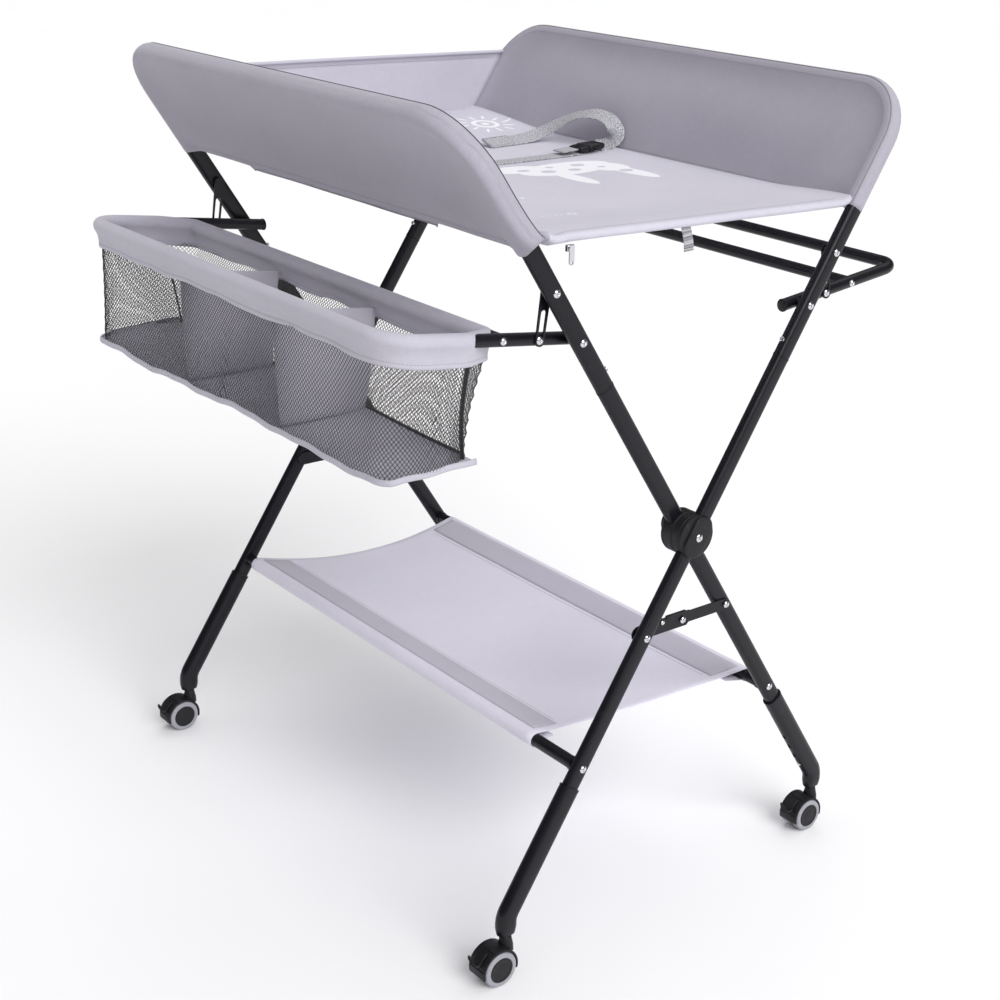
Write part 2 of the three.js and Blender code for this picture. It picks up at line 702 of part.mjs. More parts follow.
function zipSlider() {
  return boxBetween(v3(-4, -5, -7), v3(0, 5, 0)).translate(ZIP.x, ZIP.y, ZIP.z);
}

function zipPull() {
  const shape = new THREE.Shape(ovalOutline(11, 3.4, 6).map(
    (p) => new THREE.Vector2(p.y, p.x - 11),
  ));
  const eye = new THREE.Path();
  eye.absarc(0, -19, 1.6, 0, 2 * Math.PI, false);
  shape.holes.push(eye);
  return plateX(shape, 0.4, 1.8).translate(ZIP.x, ZIP.y, ZIP.z);
}

// ---- assembly ----
for (const frame of FRAMES) {
  const { key, group, toward } = frame;
  const legTop = toward > 0 ? -1 : 1;
  addPart(group, `top_tube_${key}`, topTube(frame), BLACK);
  addPart(group, `shelf_rod_${key}`, rod(frame), BLACK);
  addPart(group, `wing_${key}`, wing(frame), CLOTH);
  for (const end of ENDS) {
    const tag = `${key}_${end.key}`;
    addPart(group, `leg_${tag}`, lowerLeg(frame, end.side), BLACK);
    addPart(group, `foot_sleeve_${tag}`, footSleeve(frame, end.side), BLACK);
    const hub = toward > 0 ? outerHub(end.side, frame) : innerHub(end.side, frame);
    addPart(group, `hub_${tag}`, hub, PLASTIC);
    const snap = snapButton(frame, end.side, SNAP_AT, legTop, LEG.wide + 1.2);
    addPart(group, `snap_button_${tag}`, snap, STEEL);
    const click = snapButton(frame, end.side, FOOT_BUTTON_AT, toward, LEG.wide - 0.6);
    addPart(group, `foot_button_${tag}`, click, STEEL);
    addCaster(frame, end);
  }
}
for (const { key, side } of ENDS) {
  addPart(table, `brace_a_${key}`, braceA(side), BLACK);
  addPart(table, `brace_b_${key}`, braceB(side), BLACK);
}
addOutrigger(FRAMES[0], 'rack', RACK_REACH, RACK_BEND);
const basket = addOutrigger(FRAMES[1], 'basket', BASKET_REACH, BASKET_BEND);
addPart(basket, 'basket_bag', bag(), MESH_BLACK);
addPart(table, 'bed', bed(), CLOTH);
addPart(table, 'end_panel', endPanel(), CLOTH);
addPart(table, 'shelf', shelf(), CLOTH);
addPart(table, 'pull_tab', pullTab(), WEBBING);
addPart(table, 'zip_slider', zipSlider(), STEEL);
addPart(table, 'zip_pull', zipPull(), STEEL);
addBelt();

// stand the table on the floor with the middle of its box over the origin
const box = new THREE.Box3().setFromObject(table, true);
const middle = box.getCenter(v3(0, 0, 0));
table.position.set(-middle.x, -middle.y, -box.min.z);

export default table;
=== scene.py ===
"""Looks for the folding changing table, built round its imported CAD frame. Metres, +Z up.

The cloth pieces, the basket's net and the fine metal and plastic detail are made here from the
frame's own joints and boxes. Local coordinates on a leaning frame are (x, y, s): x along the
table, y across the frame's plane, s the distance up from the hub.
"""
import json
import math

import bmesh
import bpy
import numpy as np
from mathutils import Matrix, Vector


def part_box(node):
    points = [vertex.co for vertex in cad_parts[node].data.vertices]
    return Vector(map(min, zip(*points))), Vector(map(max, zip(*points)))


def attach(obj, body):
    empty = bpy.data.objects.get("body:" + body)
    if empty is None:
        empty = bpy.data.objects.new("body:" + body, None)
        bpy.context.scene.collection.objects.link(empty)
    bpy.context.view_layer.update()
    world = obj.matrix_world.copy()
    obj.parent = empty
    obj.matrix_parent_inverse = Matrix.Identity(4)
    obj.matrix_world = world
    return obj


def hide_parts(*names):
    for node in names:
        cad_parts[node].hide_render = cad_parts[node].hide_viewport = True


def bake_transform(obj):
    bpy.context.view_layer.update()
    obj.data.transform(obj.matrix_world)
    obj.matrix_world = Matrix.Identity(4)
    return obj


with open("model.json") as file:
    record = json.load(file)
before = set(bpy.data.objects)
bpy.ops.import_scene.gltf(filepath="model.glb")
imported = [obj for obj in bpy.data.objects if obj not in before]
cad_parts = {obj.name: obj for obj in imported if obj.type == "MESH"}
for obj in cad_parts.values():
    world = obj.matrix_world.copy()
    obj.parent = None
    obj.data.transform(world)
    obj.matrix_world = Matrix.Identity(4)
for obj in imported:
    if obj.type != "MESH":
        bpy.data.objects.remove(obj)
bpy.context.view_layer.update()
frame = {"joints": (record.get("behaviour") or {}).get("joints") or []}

MM = 0.001
Y_AXIS, Z_AXIS = (0, 1, 0), (0, 0, 1)
JOINTS = {j["name"]: j for j in frame["joints"]}
ENDS = {"near": 1, "far": -1}
FRAMES = {"a": 1, "b": -1}  # the side, along Y, that each frame's top leans to


def pivot(joint):
    return Vector(JOINTS[joint]["pos_m"])


HUB = pivot("fold")
RACK, BASKET = pivot("rack_fold"), pivot("basket_fold")
SPLAY = math.atan2(RACK.y - HUB.y, RACK.z - HUB.z)
SIN, COS = math.sin(SPLAY), math.cos(SPLAY)
MID_X = HUB.x
FOOT_X = {
    key: abs(pivot(f"caster_{key}_near_swivel").x - MID_X) for key in FRAMES
}  # leg centres from the middle
PIVOT_AT = (RACK - HUB).yz.length  # stations up from the hub
STAY_AT = (pivot("rack_stay_near_swing") - HUB).yz.length
BRACE_AT = -(pivot("brace_a_near_lift") - HUB).yz.length

# tube sections: half width across the frame's plane, half thickness along X
LEG = (11.5 * MM, 7 * MM)
SLEEVE = (13.6 * MM, 9.1 * MM)
ROD_R = 8 * MM
RAIL_R = 7.5 * MM
WING_TOP = 0.606
WING_BEND = 0.072
WING_FOOT = 0.4415
SEAM_AT = 0.239
SEAM_GAP = 0.3 * MM
LIP_DEPTH = 1.2 * MM
SNAP_AT = 0.258
ROD_AT = -0.304
SLEEVE_TOP = -0.329
LEG_END = -0.480
FOOT_BEND = -0.496
FOOT_BEND_R = 0.030
FOOT_Z = 0.0577  # underside of the foot
FOOT_BUTTON_AT = -0.466
FOOT_HOLES = 4
FOOT_HOLE_PITCH = 21 * MM
RAIL_TILT = math.radians(7)
CROSS_AT = 0.095
TAIL = 0.020
PIN_AT = 0.047  # where a stay's pin sits on its rail
BOSS_R = 6 * MM
BASKET_REACH, BASKET_BEND = 0.234, 0.042
RAILS = {"rack": ("a", RACK, 0.186, 0.024), "basket": ("b", BASKET, BASKET_REACH, BASKET_BEND)}
ARM_IN = 20.4 * MM  # arm centre, inwards from its leg's centre
WHEEL_R = 22 * MM
TRAIL = 17 * MM


# ---------------------------------------------------------------- geometry helpers
def lean(key):
    """Local (x, y, s) on frame a or b to the row frame."""
    return Matrix.Translation(HUB) @ Matrix.Rotation(-FRAMES[key] * SPLAY, 4, "X")


def moved(points, matrix):
    points = np.asarray(points, float)
    m = np.array(matrix, float)
    return points @ m[:3, :3].T + m[:3, 3]


def build(name, points, faces, look, sharp=None, weave=None):
    """A new mesh object. sharp is the angle in degrees past which edges stay crisp."""
    mesh = bpy.data.meshes.new(name)
    mesh.from_pydata(np.asarray(points, float).tolist(), [], [list(f) for f in faces])
    mesh.polygons.foreach_set("use_smooth", np.ones(len(mesh.polygons), bool))
    if sharp is not None:
        mesh.set_sharp_from_angle(angle=math.radians(sharp))
    if weave is not None:
        cloth = mesh.attributes.new("weave", "FLOAT_VECTOR", "POINT")
        flat = np.zeros((len(points), 3), np.float32)
        flat[:, :2] = weave
        cloth.data.foreach_set("vector", flat.ravel())
    obj = bpy.data.objects.new(name, mesh)
    bpy.context.scene.collection.objects.link(obj)
    mesh.materials.append(look)
    return obj


def joined(parts):
    """One list of points and faces from several (points, faces)."""
    points, faces, start = [], [], 0
    for p, f in parts:
        points.append(np.asarray(p, float))
        faces += [tuple(i + start for i in face) for face in f]
        start += len(p)
    return np.concatenate(points), faces


def grid_faces(rows, cols, wrap_rows=False, wrap_cols=False):
    """Quads between rows of cols points each."""
    faces = []
    for r in range(rows if wrap_rows else rows - 1):
        for c in range(cols if wrap_cols else cols - 1):
            r2, c2 = (r + 1) % rows, (c + 1) % cols
            faces.append((r * cols + c, r * cols + c2, r2 * cols + c2, r2 * cols + c))
    return faces


def oval(half_side, half_up, per_end=10):
    """Outline with two half-round ends, its long way whichever half is larger."""
    flip = half_up > half_side
    long, short = (half_up, half_side) if flip else (half_side, half_up)
    points = []
    for side in (1, -1):
        for k in range(per_end + 1):
            a = (k / per_end - 0.5) * math.pi + (0 if side > 0 else math.pi)
            p = (side * (long - short) + short * math.cos(a), short * math.sin(a))
            points.append((p[1], -p[0]) if flip else p)
    return np.array(points[:-1] if long == short else points)


def disc(radius, sides=24):
    a = np.arange(sides) * 2 * math.pi / sides
    return np.stack([radius * np.cos(a), radius * np.sin(a)], 1)


def fillet(corners, radius, steps=10):
    """The corners as a polyline with each inner corner rounded, by one radius or its own."""
    corners = [Vector(c) for c in corners]
    radii = np.broadcast_to(radius, len(corners) - 2)
    points = [corners[0]]
    for before, corner, after, r in zip(corners, corners[1:], corners[2:], radii):
        back, on = (before - corner).normalized(), (after - corner).normalized()
        half = back.angle(on) / 2
        start = corner + back * (r / math.tan(half))
        centre = corner + (back + on).normalized() * (r / math.sin(half))
        axis = on.cross(back).normalized()
        for k in range(steps + 1):
            turn = Matrix.Rotation(k / steps * (math.pi - 2 * half), 3, axis)
            points.append(centre + turn @ (start - centre))
    return np.array([*points, corners[-1]], float)


def directions(path, closed=False):
    """Unit tangents along a path of points."""
    path = np.asarray(path, float)
    if closed:
        step = np.roll(path, -1, 0) - path
        step /= np.linalg.norm(step, axis=1, keepdims=True)
        t = step + np.roll(step, 1, 0)
    else:
        step = path[1:] - path[:-1]
        step /= np.linalg.norm(step, axis=1, keepdims=True)
        t = np.concatenate([step[:1], step[1:] + step[:-1], step[-1:]])
    return t / np.linalg.norm(t, axis=1, keepdims=True)


def sweep(path, outline, up, closed=False, scale=None):
    """A solid along path. outline is (side, up); scale shrinks it at each point."""
    path = np.asarray(path, float)
    t = directions(path, closed)
    ups = np.broadcast_to(np.asarray(up, float), t.shape)
    side = np.cross(t, ups)
    side /= np.linalg.norm(side, axis=1, keepdims=True)
    ups = np.cross(side, t)
    n, m = len(path), len(outline)
    size = np.ones(n) if scale is None else np.asarray(scale, float)
    rings = (
        path[:, None]
        + (side[:, None] * outline[None, :, :1] + ups[:, None] * outline[None, :, 1:])
        * size[:, None, None]
    )
    faces = grid_faces(n, m, wrap_rows=closed, wrap_cols=True)
    if not closed:
        faces += [tuple(range(m)), tuple(range((n - 1) * m, n * m))[::-1]]
    return rings.reshape(-1, 3), [f[::-1] for f in faces]


def lathe(profile, sides=32):
    """(points, faces) round the X axis. profile is (radius, x), from axis to axis."""
    a = np.arange(sides) * 2 * math.pi / sides
    points, faces = [], []
    rows = []
    for r, x in profile:
        if r < 1e-7:
            rows.append([len(points)])
            points.append((x, 0, 0))
        else:
            rows.append(list(range(len(points), len(points) + sides)))
            points += [(x, r * math.cos(t), r * math.sin(t)) for t in a]
    for low, high in zip(rows, rows[1:]):
        for k in range(sides):
            k2 = (k + 1) % sides
            if len(low) == 1:
                faces.append((low[0], high[k], high[k2]))
            elif len(high) == 1:
                faces.append((low[k], high[0], low[k2]))
            else:
                faces.append((low[k], high[k], high[k2], low[k2]))
    return np.array(points, float), [f[::-1] for f in faces]


def fit(piece, body=None, node=None):
    """Hides the CAD node a piece stands for and hangs the piece on the body it rides on."""
    if node:
        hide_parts(node)
    if body:
        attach(piece, body)
    return piece


def mm(values):
    """Millimetres as an array in metres."""
    return np.array(values, float) * MM


def skin(name, rows, look, weave):
    """A closed piece from equal rings of points, capped at both ends."""
    n, m = rows.shape[:2]
    caps = [tuple(range(m))[::-1], tuple(range((n - 1) * m, n * m))]
    faces = grid_faces(n, m, wrap_cols=True) + caps
    piece = build(name, rows.reshape(-1, 3), faces, look, weave=weave.reshape(-1, 2))
    tidy(piece)
    return piece


def leaning(name, key, parts, look=None):
    """One piece of several solids that are given in a leaning frame's own coordinates."""
    points, faces = joined(parts)
    return build(name, moved(points, lean(key)), faces, look or ENAMEL, sharp=40)


def turned(name, profile, place, look, sides=36, degrees=40):
    """A crisp piece turned round its own X axis, then put in place."""
    points, faces = lathe(profile, sides)
    return crisp(build(name, moved(points, place), faces, look), degrees)


def crisp(piece, degrees):
    tidy(piece)
    piece.data.set_sharp_from_angle(angle=math.radians(degrees))
    return piece


def carved(name, solid, tools, look, place=Matrix()):
    """solid (points, faces) with each tool (points, faces) cut out of it, then put in place."""
    body = build(name, moved(solid[0], place), solid[1], look)
    points, faces = joined(tools)
    cutter = build(name + "_cutter", moved(points, place), faces, look)
    tidy(body)
    tidy(cutter)
    cut = body.modifiers.new("cut", "BOOLEAN")
    cut.operation, cut.object, cut.solver, cut.use_self = "DIFFERENCE", cutter, "EXACT", True
    graph = bpy.context.evaluated_depsgraph_get()
    done = bpy.data.meshes.new_from_object(body.evaluated_get(graph))
    body.modifiers.clear()
    body.data = done
    done.set_sharp_from_angle(angle=math.radians(40))
    bpy.data.objects.remove(cutter)
    return body


def smooth01(t):
    t = np.clip(t, 0, 1)
    return t * t * (3 - 2 * t)


def tidy(piece, merge=0.02 * MM):
    """Welds doubled points, drops faces of no area and turns normals outwards."""
    mesh = bmesh.new()
    mesh.from_mesh(piece.data)
    bmesh.ops.remove_doubles(mesh, verts=mesh.verts, dist=merge)
    bmesh.ops.dissolve_degenerate(mesh, dist=1e-6, edges=mesh.edges)
    bmesh.ops.recalc_face_normals(mesh, faces=mesh.faces)
    mesh.to_mesh(piece.data)
    mesh.free()
    piece.data.polygons.foreach_set("use_smooth", np.ones(len(piece.data.polygons), bool))


def stitched(name, path, normal, body=None, pitch=4.2 * MM, length=3.0 * MM, radius=0.35 * MM):
    """A run of separate thread stitches lying on a path, standing half out along normal."""
    path = np.asarray(path, float)
    steps = np.linalg.norm(path[1:] - path[:-1], axis=1)
    along = np.concatenate([[0], np.cumsum(steps)])
    normals = np.broadcast_to(np.asarray(normal, float), path.shape)
    ring = disc(1, 5)
    shares = np.array([0, 0.25, 0.75, 1.0])
    sizes = np.array([0.3, 1, 1, 0.3]) * radius
    points, faces = [], []
    for s in np.arange(pitch / 2, along[-1] - length, pitch):
        d = s + shares * length
        centre = np.stack([np.interp(d, along, path[:, k]) for k in range(3)], 1)
        n = np.stack([np.interp(d, along, normals[:, k]) for k in range(3)], 1)
        centre = centre + n * (np.array([-0.3, 0.6, 0.6, -0.3]) * radius)[:, None]
        t = centre[-1] - centre[0]
        t /= np.linalg.norm(t)
        side = np.cross(t, n[0])
        side /= np.linalg.norm(side)
        up = np.cross(side, t)
        base = len(points)
        for c, size in zip(centre, sizes):
            points += [c + size * (side * a + up * b) for a, b in ring]
        faces += [tuple(base + i for i in f) for f in grid_faces(4, 5, wrap_cols=True)]
        faces += [tuple(base + i for i in range(5))[::-1], tuple(base + 15 + i for i in range(5))]
    return fit(build(name, points, faces, THREADS), body)


# ---------------------------------------------------------------- materials
def srgb(r, g, b):
    """A colour given as 0-255 sRGB numbers, as linear RGBA."""
    lin = [c / 255 / 12.92 if c < 11 else ((c / 255 + 0.055) / 1.055) ** 2.4 for c in (r, g, b)]
    return (*lin, 1)


class Look:
    """A procedural material: its node tree, its shader and short ways to add nodes."""

    def __init__(self, name, **sockets):
        self.material = bpy.data.materials.new(name)
        self.material.use_nodes = True
        self.tree = self.material.node_tree
        self.shader = self.tree.nodes["Principled BSDF"]
        for socket, value in sockets.items():
            self.shader.inputs[socket.replace("_", " ")].default_value = value

    def add(self, kind, inputs, **settings):
        node = self.tree.nodes.new("ShaderNode" + kind)
        for key, value in settings.items():
            setattr(node, key, value)
        for key, value in inputs.items():
            if isinstance(value, bpy.types.NodeSocket):
                self.tree.links.new(value, node.inputs[key])
            else:
                node.inputs[key].default_value = value
        return node

    def place(self):
        return self.add("TexCoord", {}).outputs["Object"]

    def cloth_place(self):
        return self.add("Attribute", {}, attribute_name="weave").outputs["Vector"]

    def stretched(self, vector, scale):
        return self.add("Mapping", {"Vector": vector, "Scale": scale}).outputs["Vector"]

    def noise(self, vector, scale, detail=2.0, roughness=0.5):
        inputs = {"Vector": vector, "Scale": scale, "Detail": detail, "Roughness": roughness}
        return self.add("TexNoise", inputs).outputs["Fac"]

    def math(self, operation, a, b=0.0):
        return self.add("Math", {0: a, 1: b}, operation=operation).outputs[0]

    def remap(self, value, low, high, to_low, to_high):
        inputs = {0: value, 1: low, 2: high, 3: to_low, 4: to_high}
        return self.add("MapRange", inputs).outputs[0]

    def mix(self, share, a, b):
        return self.add("Mix", {0: share, 6: a, 7: b}, data_type="RGBA").outputs[2]

    def split(self, vector):
        return self.add("SeparateXYZ", {"Vector": vector}).outputs

    def bump(self, height, distance, strength=1.0, **under):
        inputs = {"Height": height, "Distance": distance, "Strength": strength, **under}
        return self.add("Bump", inputs).outputs["Normal"]

    def drive(self, **sockets):
        for socket, value in sockets.items():
            self.tree.links.new(value, self.shader.inputs[socket.replace("_", " ")])
        return self.material


def enamel():
    """Satin black powder coat on steel tube: orange peel, dust specks, rubbed patches."""
    look = Look("black_enamel", Metallic=0.0, Specular_IOR_Level=0.3)
    place = look.place()
    broad = look.noise(place, 9, 3)
    rubbed = look.remap(look.noise(place, 35, 4, 0.65), 0.62, 0.75, 0, 0.35)
    base = look.mix(broad, srgb(14, 14, 20), srgb(22, 22, 29))
    colour = look.mix(rubbed, base, srgb(46, 46, 51))
    rough = look.remap(broad, 0.3, 0.7, 0.26, 0.38)
    normal = look.bump(look.noise(place, 900, 2), 0.05 * MM, 0.5)
    return look.drive(Base_Color=colour, Roughness=rough, Normal=normal)


def plastic():
    """Moulded black plastic with a fine spark-eroded grain and scuffs."""
    look = Look("black_plastic", Specular_IOR_Level=0.32)
    place = look.place()
    broad = look.noise(place, 22, 3)
    scuff = look.remap(look.noise(look.stretched(place, (300, 60, 60)), 1, 3), 0.66, 0.8, 0, 0.5)
    base = look.mix(broad, srgb(19, 19, 22), srgb(29, 29, 33))
    colour = look.mix(scuff, base, srgb(62, 62, 68))
    rough = look.remap(broad, 0.3, 0.7, 0.42, 0.58)
    normal = look.bump(look.noise(place, 1600, 2), 0.06 * MM, 0.6)
    return look.drive(Base_Color=colour, Roughness=rough, Normal=normal)


def steel():
    """Bright plated screws, buttons and zip parts, with fine turning marks."""
    look = Look("bright_steel", Metallic=1.0)
    marks = look.noise(look.stretched(look.place(), (500, 2500, 2500)), 1, 2)
    colour = look.mix(marks, srgb(196, 197, 202), srgb(232, 232, 235))
    return look.drive(Base_Color=colour, Roughness=look.remap(marks, 0.3, 0.7, 0.16, 0.3))


def tyre():
    """Grey wheel tread with a soft bloom and fine road dust."""
    look = Look("wheel_grey")
    place = look.place()
    dust = look.noise(place, 260, 4, 0.6)
    colour = look.mix(dust, srgb(132, 132, 139), srgb(166, 166, 174))
    rough = look.remap(dust, 0.3, 0.7, 0.5, 0.7)
    normal = look.bump(look.noise(place, 900, 2), 0.08 * MM, 0.5)
    return look.drive(Base_Color=colour, Roughness=rough, Normal=normal)


THREAD_PITCH = 0.9 * MM  # one over-and-under of the cloth's weave
RIB_PITCH = 1.6 * MM


def weave_height(look, cloth_at):
    """Plain weave: warp and weft threads that cross over and under each other."""
    x, y, _ = look.split(cloth_at)
    turn = 2 * math.pi / THREAD_PITCH
    warp, weft = (look.math("SINE", look.math("MULTIPLY", way, turn)) for way in (x, y))
    return look.math("MULTIPLY", warp, weft)


def cloth(name, tone, dark, printed=None):
    """Woven lilac-grey polyester: weave, slubs along the threads, broad soft mottling."""
    look = Look(name, Roughness=0.82, Sheen_Weight=0.25, Sheen_Roughness=0.4)
    place = look.cloth_place()
    weave = weave_height(look, place)
    slub_x = look.noise(look.stretched(place, (60, 1500, 1)), 1, 2)
    slub_y = look.noise(look.stretched(place, (1500, 60, 1)), 1, 2)
    slubs = look.remap(look.math("MULTIPLY", slub_x, slub_y), 0.1, 0.4, 0, 0.6)
    mottle = look.remap(look.noise(place, 7, 4, 0.55), 0.3, 0.7, 0, 0.4)
    colour = look.mix(look.math("ADD", slubs, mottle), srgb(*dark), srgb(*tone))
    if printed is not None:
        ink = look.math("MULTIPLY", printed(look, place), look.remap(weave, -1, 0.2, 0.82, 1))
        colour = look.mix(ink, colour, srgb(236, 235, 240))
    creases = look.bump(look.noise(place, 16, 3, 0.45), 2.2 * MM, 0.16)
    normal = look.bump(weave, 0.09 * MM, 0.7, Normal=creases)
    return look.drive(Base_Color=colour, Normal=normal)


def webbing():
    """Ribbed silver-grey strap with a speckle of bright and dark threads."""
    look = Look("grey_webbing", Sheen_Weight=0.2)
    place = look.cloth_place()
    ribs = look.math("SINE", look.math("MULTIPLY", look.split(place)[0], 2 * math.pi / RIB_PITCH))
    speckle = look.noise(place, 620, 4, 0.75)
    colour = look.mix(look.remap(speckle, 0.40, 0.60, 0, 1), srgb(82, 82, 87), srgb(206, 206, 213))
    rough = look.remap(speckle, 0.3, 0.7, 0.8, 0.45)
    height = look.math("ADD", look.math("MULTIPLY", ribs, 0.5), speckle)
    return look.drive(Base_Color=colour, Roughness=rough, Normal=look.bump(height, 0.16 * MM, 0.8))


def cord_black(name, low, high):
    """Net cord, piping and binding tape: twisted filaments between two greys."""
    look = Look(name, Roughness=0.75, Sheen_Weight=0.15)
    twist = look.noise(look.stretched(look.place(), (900, 900, 360)), 1, 2)
    colour = look.mix(twist, srgb(low, low, low + 2), srgb(high, high, high + 4))
    return look.drive(Base_Color=colour, Normal=look.bump(twist, 0.12 * MM, 0.7))


def sewing_thread():
    look = Look("sewing_thread", Roughness=0.6, Sheen_Weight=0.2)
    fibre = look.noise(look.place(), 2500, 2)
    return look.drive(Base_Color=look.mix(fibre, srgb(128, 124, 136), srgb(168, 164, 178)))


def blob(look, place, x, y, half_x, half_y, turn=0.0, soft=0.9 * MM):
    """1 inside an ellipse on the cloth, 0 outside it."""
    inputs = {"Vector": place, "Location": (x, y, 0), "Rotation": (0, 0, turn)}
    inputs["Scale"] = (half_x, half_y, 1)
    inside = look.add("Mapping", inputs, vector_type="TEXTURE").outputs["Vector"]
    u, v, _ = look.split(inside)
    flat = look.add("CombineXYZ", {"X": u, "Y": v}).outputs[0]
    away = look.add("VectorMath", {0: flat}, operation="LENGTH").outputs["Value"]
    edge = soft / max(half_x, half_y)
    return look.remap(away, 1 - edge, 1 + edge, 1, 0)


def ring_print(look, place, x, y, outer, inner):
    outer, inner = (blob(look, place, x, y, r, r) for r in (outer, inner))
    return look.math("SUBTRACT", outer, inner)


def union(look, inks):
    ink = inks[0]
    for other in inks[1:]:
        ink = look.math("MAXIMUM", ink, other)
    return ink


def sun_print(look, place, x, y):
    """A generic sun: a ring with a spot in it and twelve rays."""
    inks = [ring_print(look, place, x, y, 0.021, 0.014), blob(look, place, x, y, 0.006, 0.006)]
    for k in range(12):
        a, reach = k * math.pi / 6, 0.034 + 0.004 * (k % 2)
        ray = (x + reach * math.cos(a), y + reach * math.sin(a))
        inks.append(blob(look, place, *ray, 0.009, 0.0022, a))
    return union(look, inks)


def animal_print(look, place, x, y):
    """A generic spotted four-legged shape lying along the bed, its legs towards +X."""
    lobes = ((0, 0, 0.036, 0.078, 0.12), (-0.022, -0.062, 0.024, 0.040, 0.0),
             (0.058, -0.030, 0.046, 0.013, 0.0), (0.062, 0.062, 0.050, 0.014, 0.06),
             (0.016, 0.056, 0.034, 0.026, 0.3))
    ink = union(look, [blob(look, place, x + dx, y + dy, *size) for dx, dy, *size in lobes])
    spots = ((-0.012, -0.060), (0.008, -0.034), (-0.016, -0.014), (0.012, 0.006),
             (-0.012, 0.030), (0.014, 0.050), (0.052, 0.060))
    for k, (dx, dy) in enumerate(spots):
        size = (7.0 + 2.2 * math.sin(2.2 * k)) * MM
        ink = look.math("SUBTRACT", ink, blob(look, place, x + dx, y + dy, size, size * 1.25))
    return look.math("MAXIMUM", ink, 0.0)


def bed_prints(look, place):
    """All the white prints: a sun, a four-legged shape, a ring, a dot and a row of dashes."""
    inks = [sun_print(look, place, -0.285, 0.186), animal_print(look, place, 0.018, 0.092),
            ring_print(look, place, 0.257, -0.092, 0.0058, 0.0038),
            blob(look, place, 0.152, -0.082, 0.003, 0.003)]
    inks += [blob(look, place, 0.2525 + 0.0015 * k, -0.131 + 0.008 * k, 0.0011, 0.0022) for k in range(4)]
    return union(look, inks)


ENAMEL, PLASTIC, STEEL, TYRE = enamel(), plastic(), steel(), tyre()
CLOTH = cloth("lilac_cloth", (196, 193, 205), (180, 177, 189))
# Painted shade: the wings' cloth is a darker copy of the lilac cloth, standing in for the shade on the
# wings' faces.
WING_CLOTH_PAINTED_SHADE = cloth("wing_cloth_painted_shade", (174, 170, 183), (159, 155, 168))
BED_CLOTH = cloth("bed_cloth", (203, 200, 213), (188, 185, 198), bed_prints)
SLEEVE_CLOTH = cloth("sleeve_cloth", (196, 192, 205), (182, 178, 191))
# Painted light: the shelf's cloth is a lighter copy of the lilac cloth, making up for the bed's shadow that
# falls on it.
SHELF_CLOTH_PAINTED_LIGHT = cloth("shelf_cloth_painted_light", (230, 226, 240), (217, 213, 227))
WEBBING = webbing()
NET = cord_black("black_net", 22, 46)
PIPING = cord_black("dark_piping", 46, 70)
GREY_PIPING = cord_black("grey_piping", 128, 150)
BINDING = cord_black("black_binding", 26, 48)
THREADS = sewing_thread()


# ---------------------------------------------------------------- frame tubes and hubs
ACROSS = {key: np.array(lean(key).to_3x3() @ Vector((0, 1, 0))) for key in FRAMES}


def on_leg(key, end, station, out=0.0, across=0.0):
    """Row-frame place by a leg: out along X away from its centre, across the frame's plane."""
    x = ENDS[end] * (FOOT_X[key] + out)
    return lean(key) @ Vector((x, across, station))


def sided(x, side):
    """Row-frame X of a distance from the middle, on one side."""
    return MID_X + side * x


def ring_lip(end, section):
    """A rolled edge round a straight tube, just proud of its skin, upwards from end."""
    wide, thin = (size + 0.35 * MM for size in section)
    end = Vector(end)
    return sweep([end, end + Vector((0, 0, LIP_DEPTH))], oval(thin, wide), Y_AXIS)


def make_tubes():
    section = oval(LEG[1], LEG[0])
    for key in FRAMES:
        body, half, foot = f"frame_{key}", FOOT_X[key], SEAM_AT + SEAM_GAP
        corners = [(-half, 0, foot), (-half, 0, WING_TOP), (half, 0, WING_TOP), (half, 0, foot)]
        parts = [sweep(fillet(corners, WING_BEND, 16), section, Y_AXIS)]
        parts += [ring_lip((s * half, 0, foot), LEG) for s in (1, -1)]
        fit(leaning(f"tube_top_{key}", key, parts), body, f"top_tube_{key}")
        for end, side in ENDS.items():
            x = side * half
            parts = [sweep([(x, 0, LEG_END), (x, 0, 0), (x, 0, SEAM_AT)], section, Y_AXIS),
                     ring_lip((x, 0, SEAM_AT - LIP_DEPTH), LEG)]
            leg = leaning(f"tube_leg_{key}_{end}", key, parts)
            fit(leg, body, f"leg_{key}_{end}")
        ends = [Vector((s * (half - LEG[1]), 0, ROD_AT)) for s in (-1, 1)]
        parts = [sweep(ends, disc(ROD_R, 28), Y_AXIS)]
        parts += [sweep([e, e - Vector((s * 5 * MM, 0, 0))], disc(ROD_R + 1.2 * MM, 28), Y_AXIS)
                  for s, e in zip((-1, 1), ends)]
        fit(leaning(f"rod_{key}", key, parts), body, f"shelf_rod_{key}")


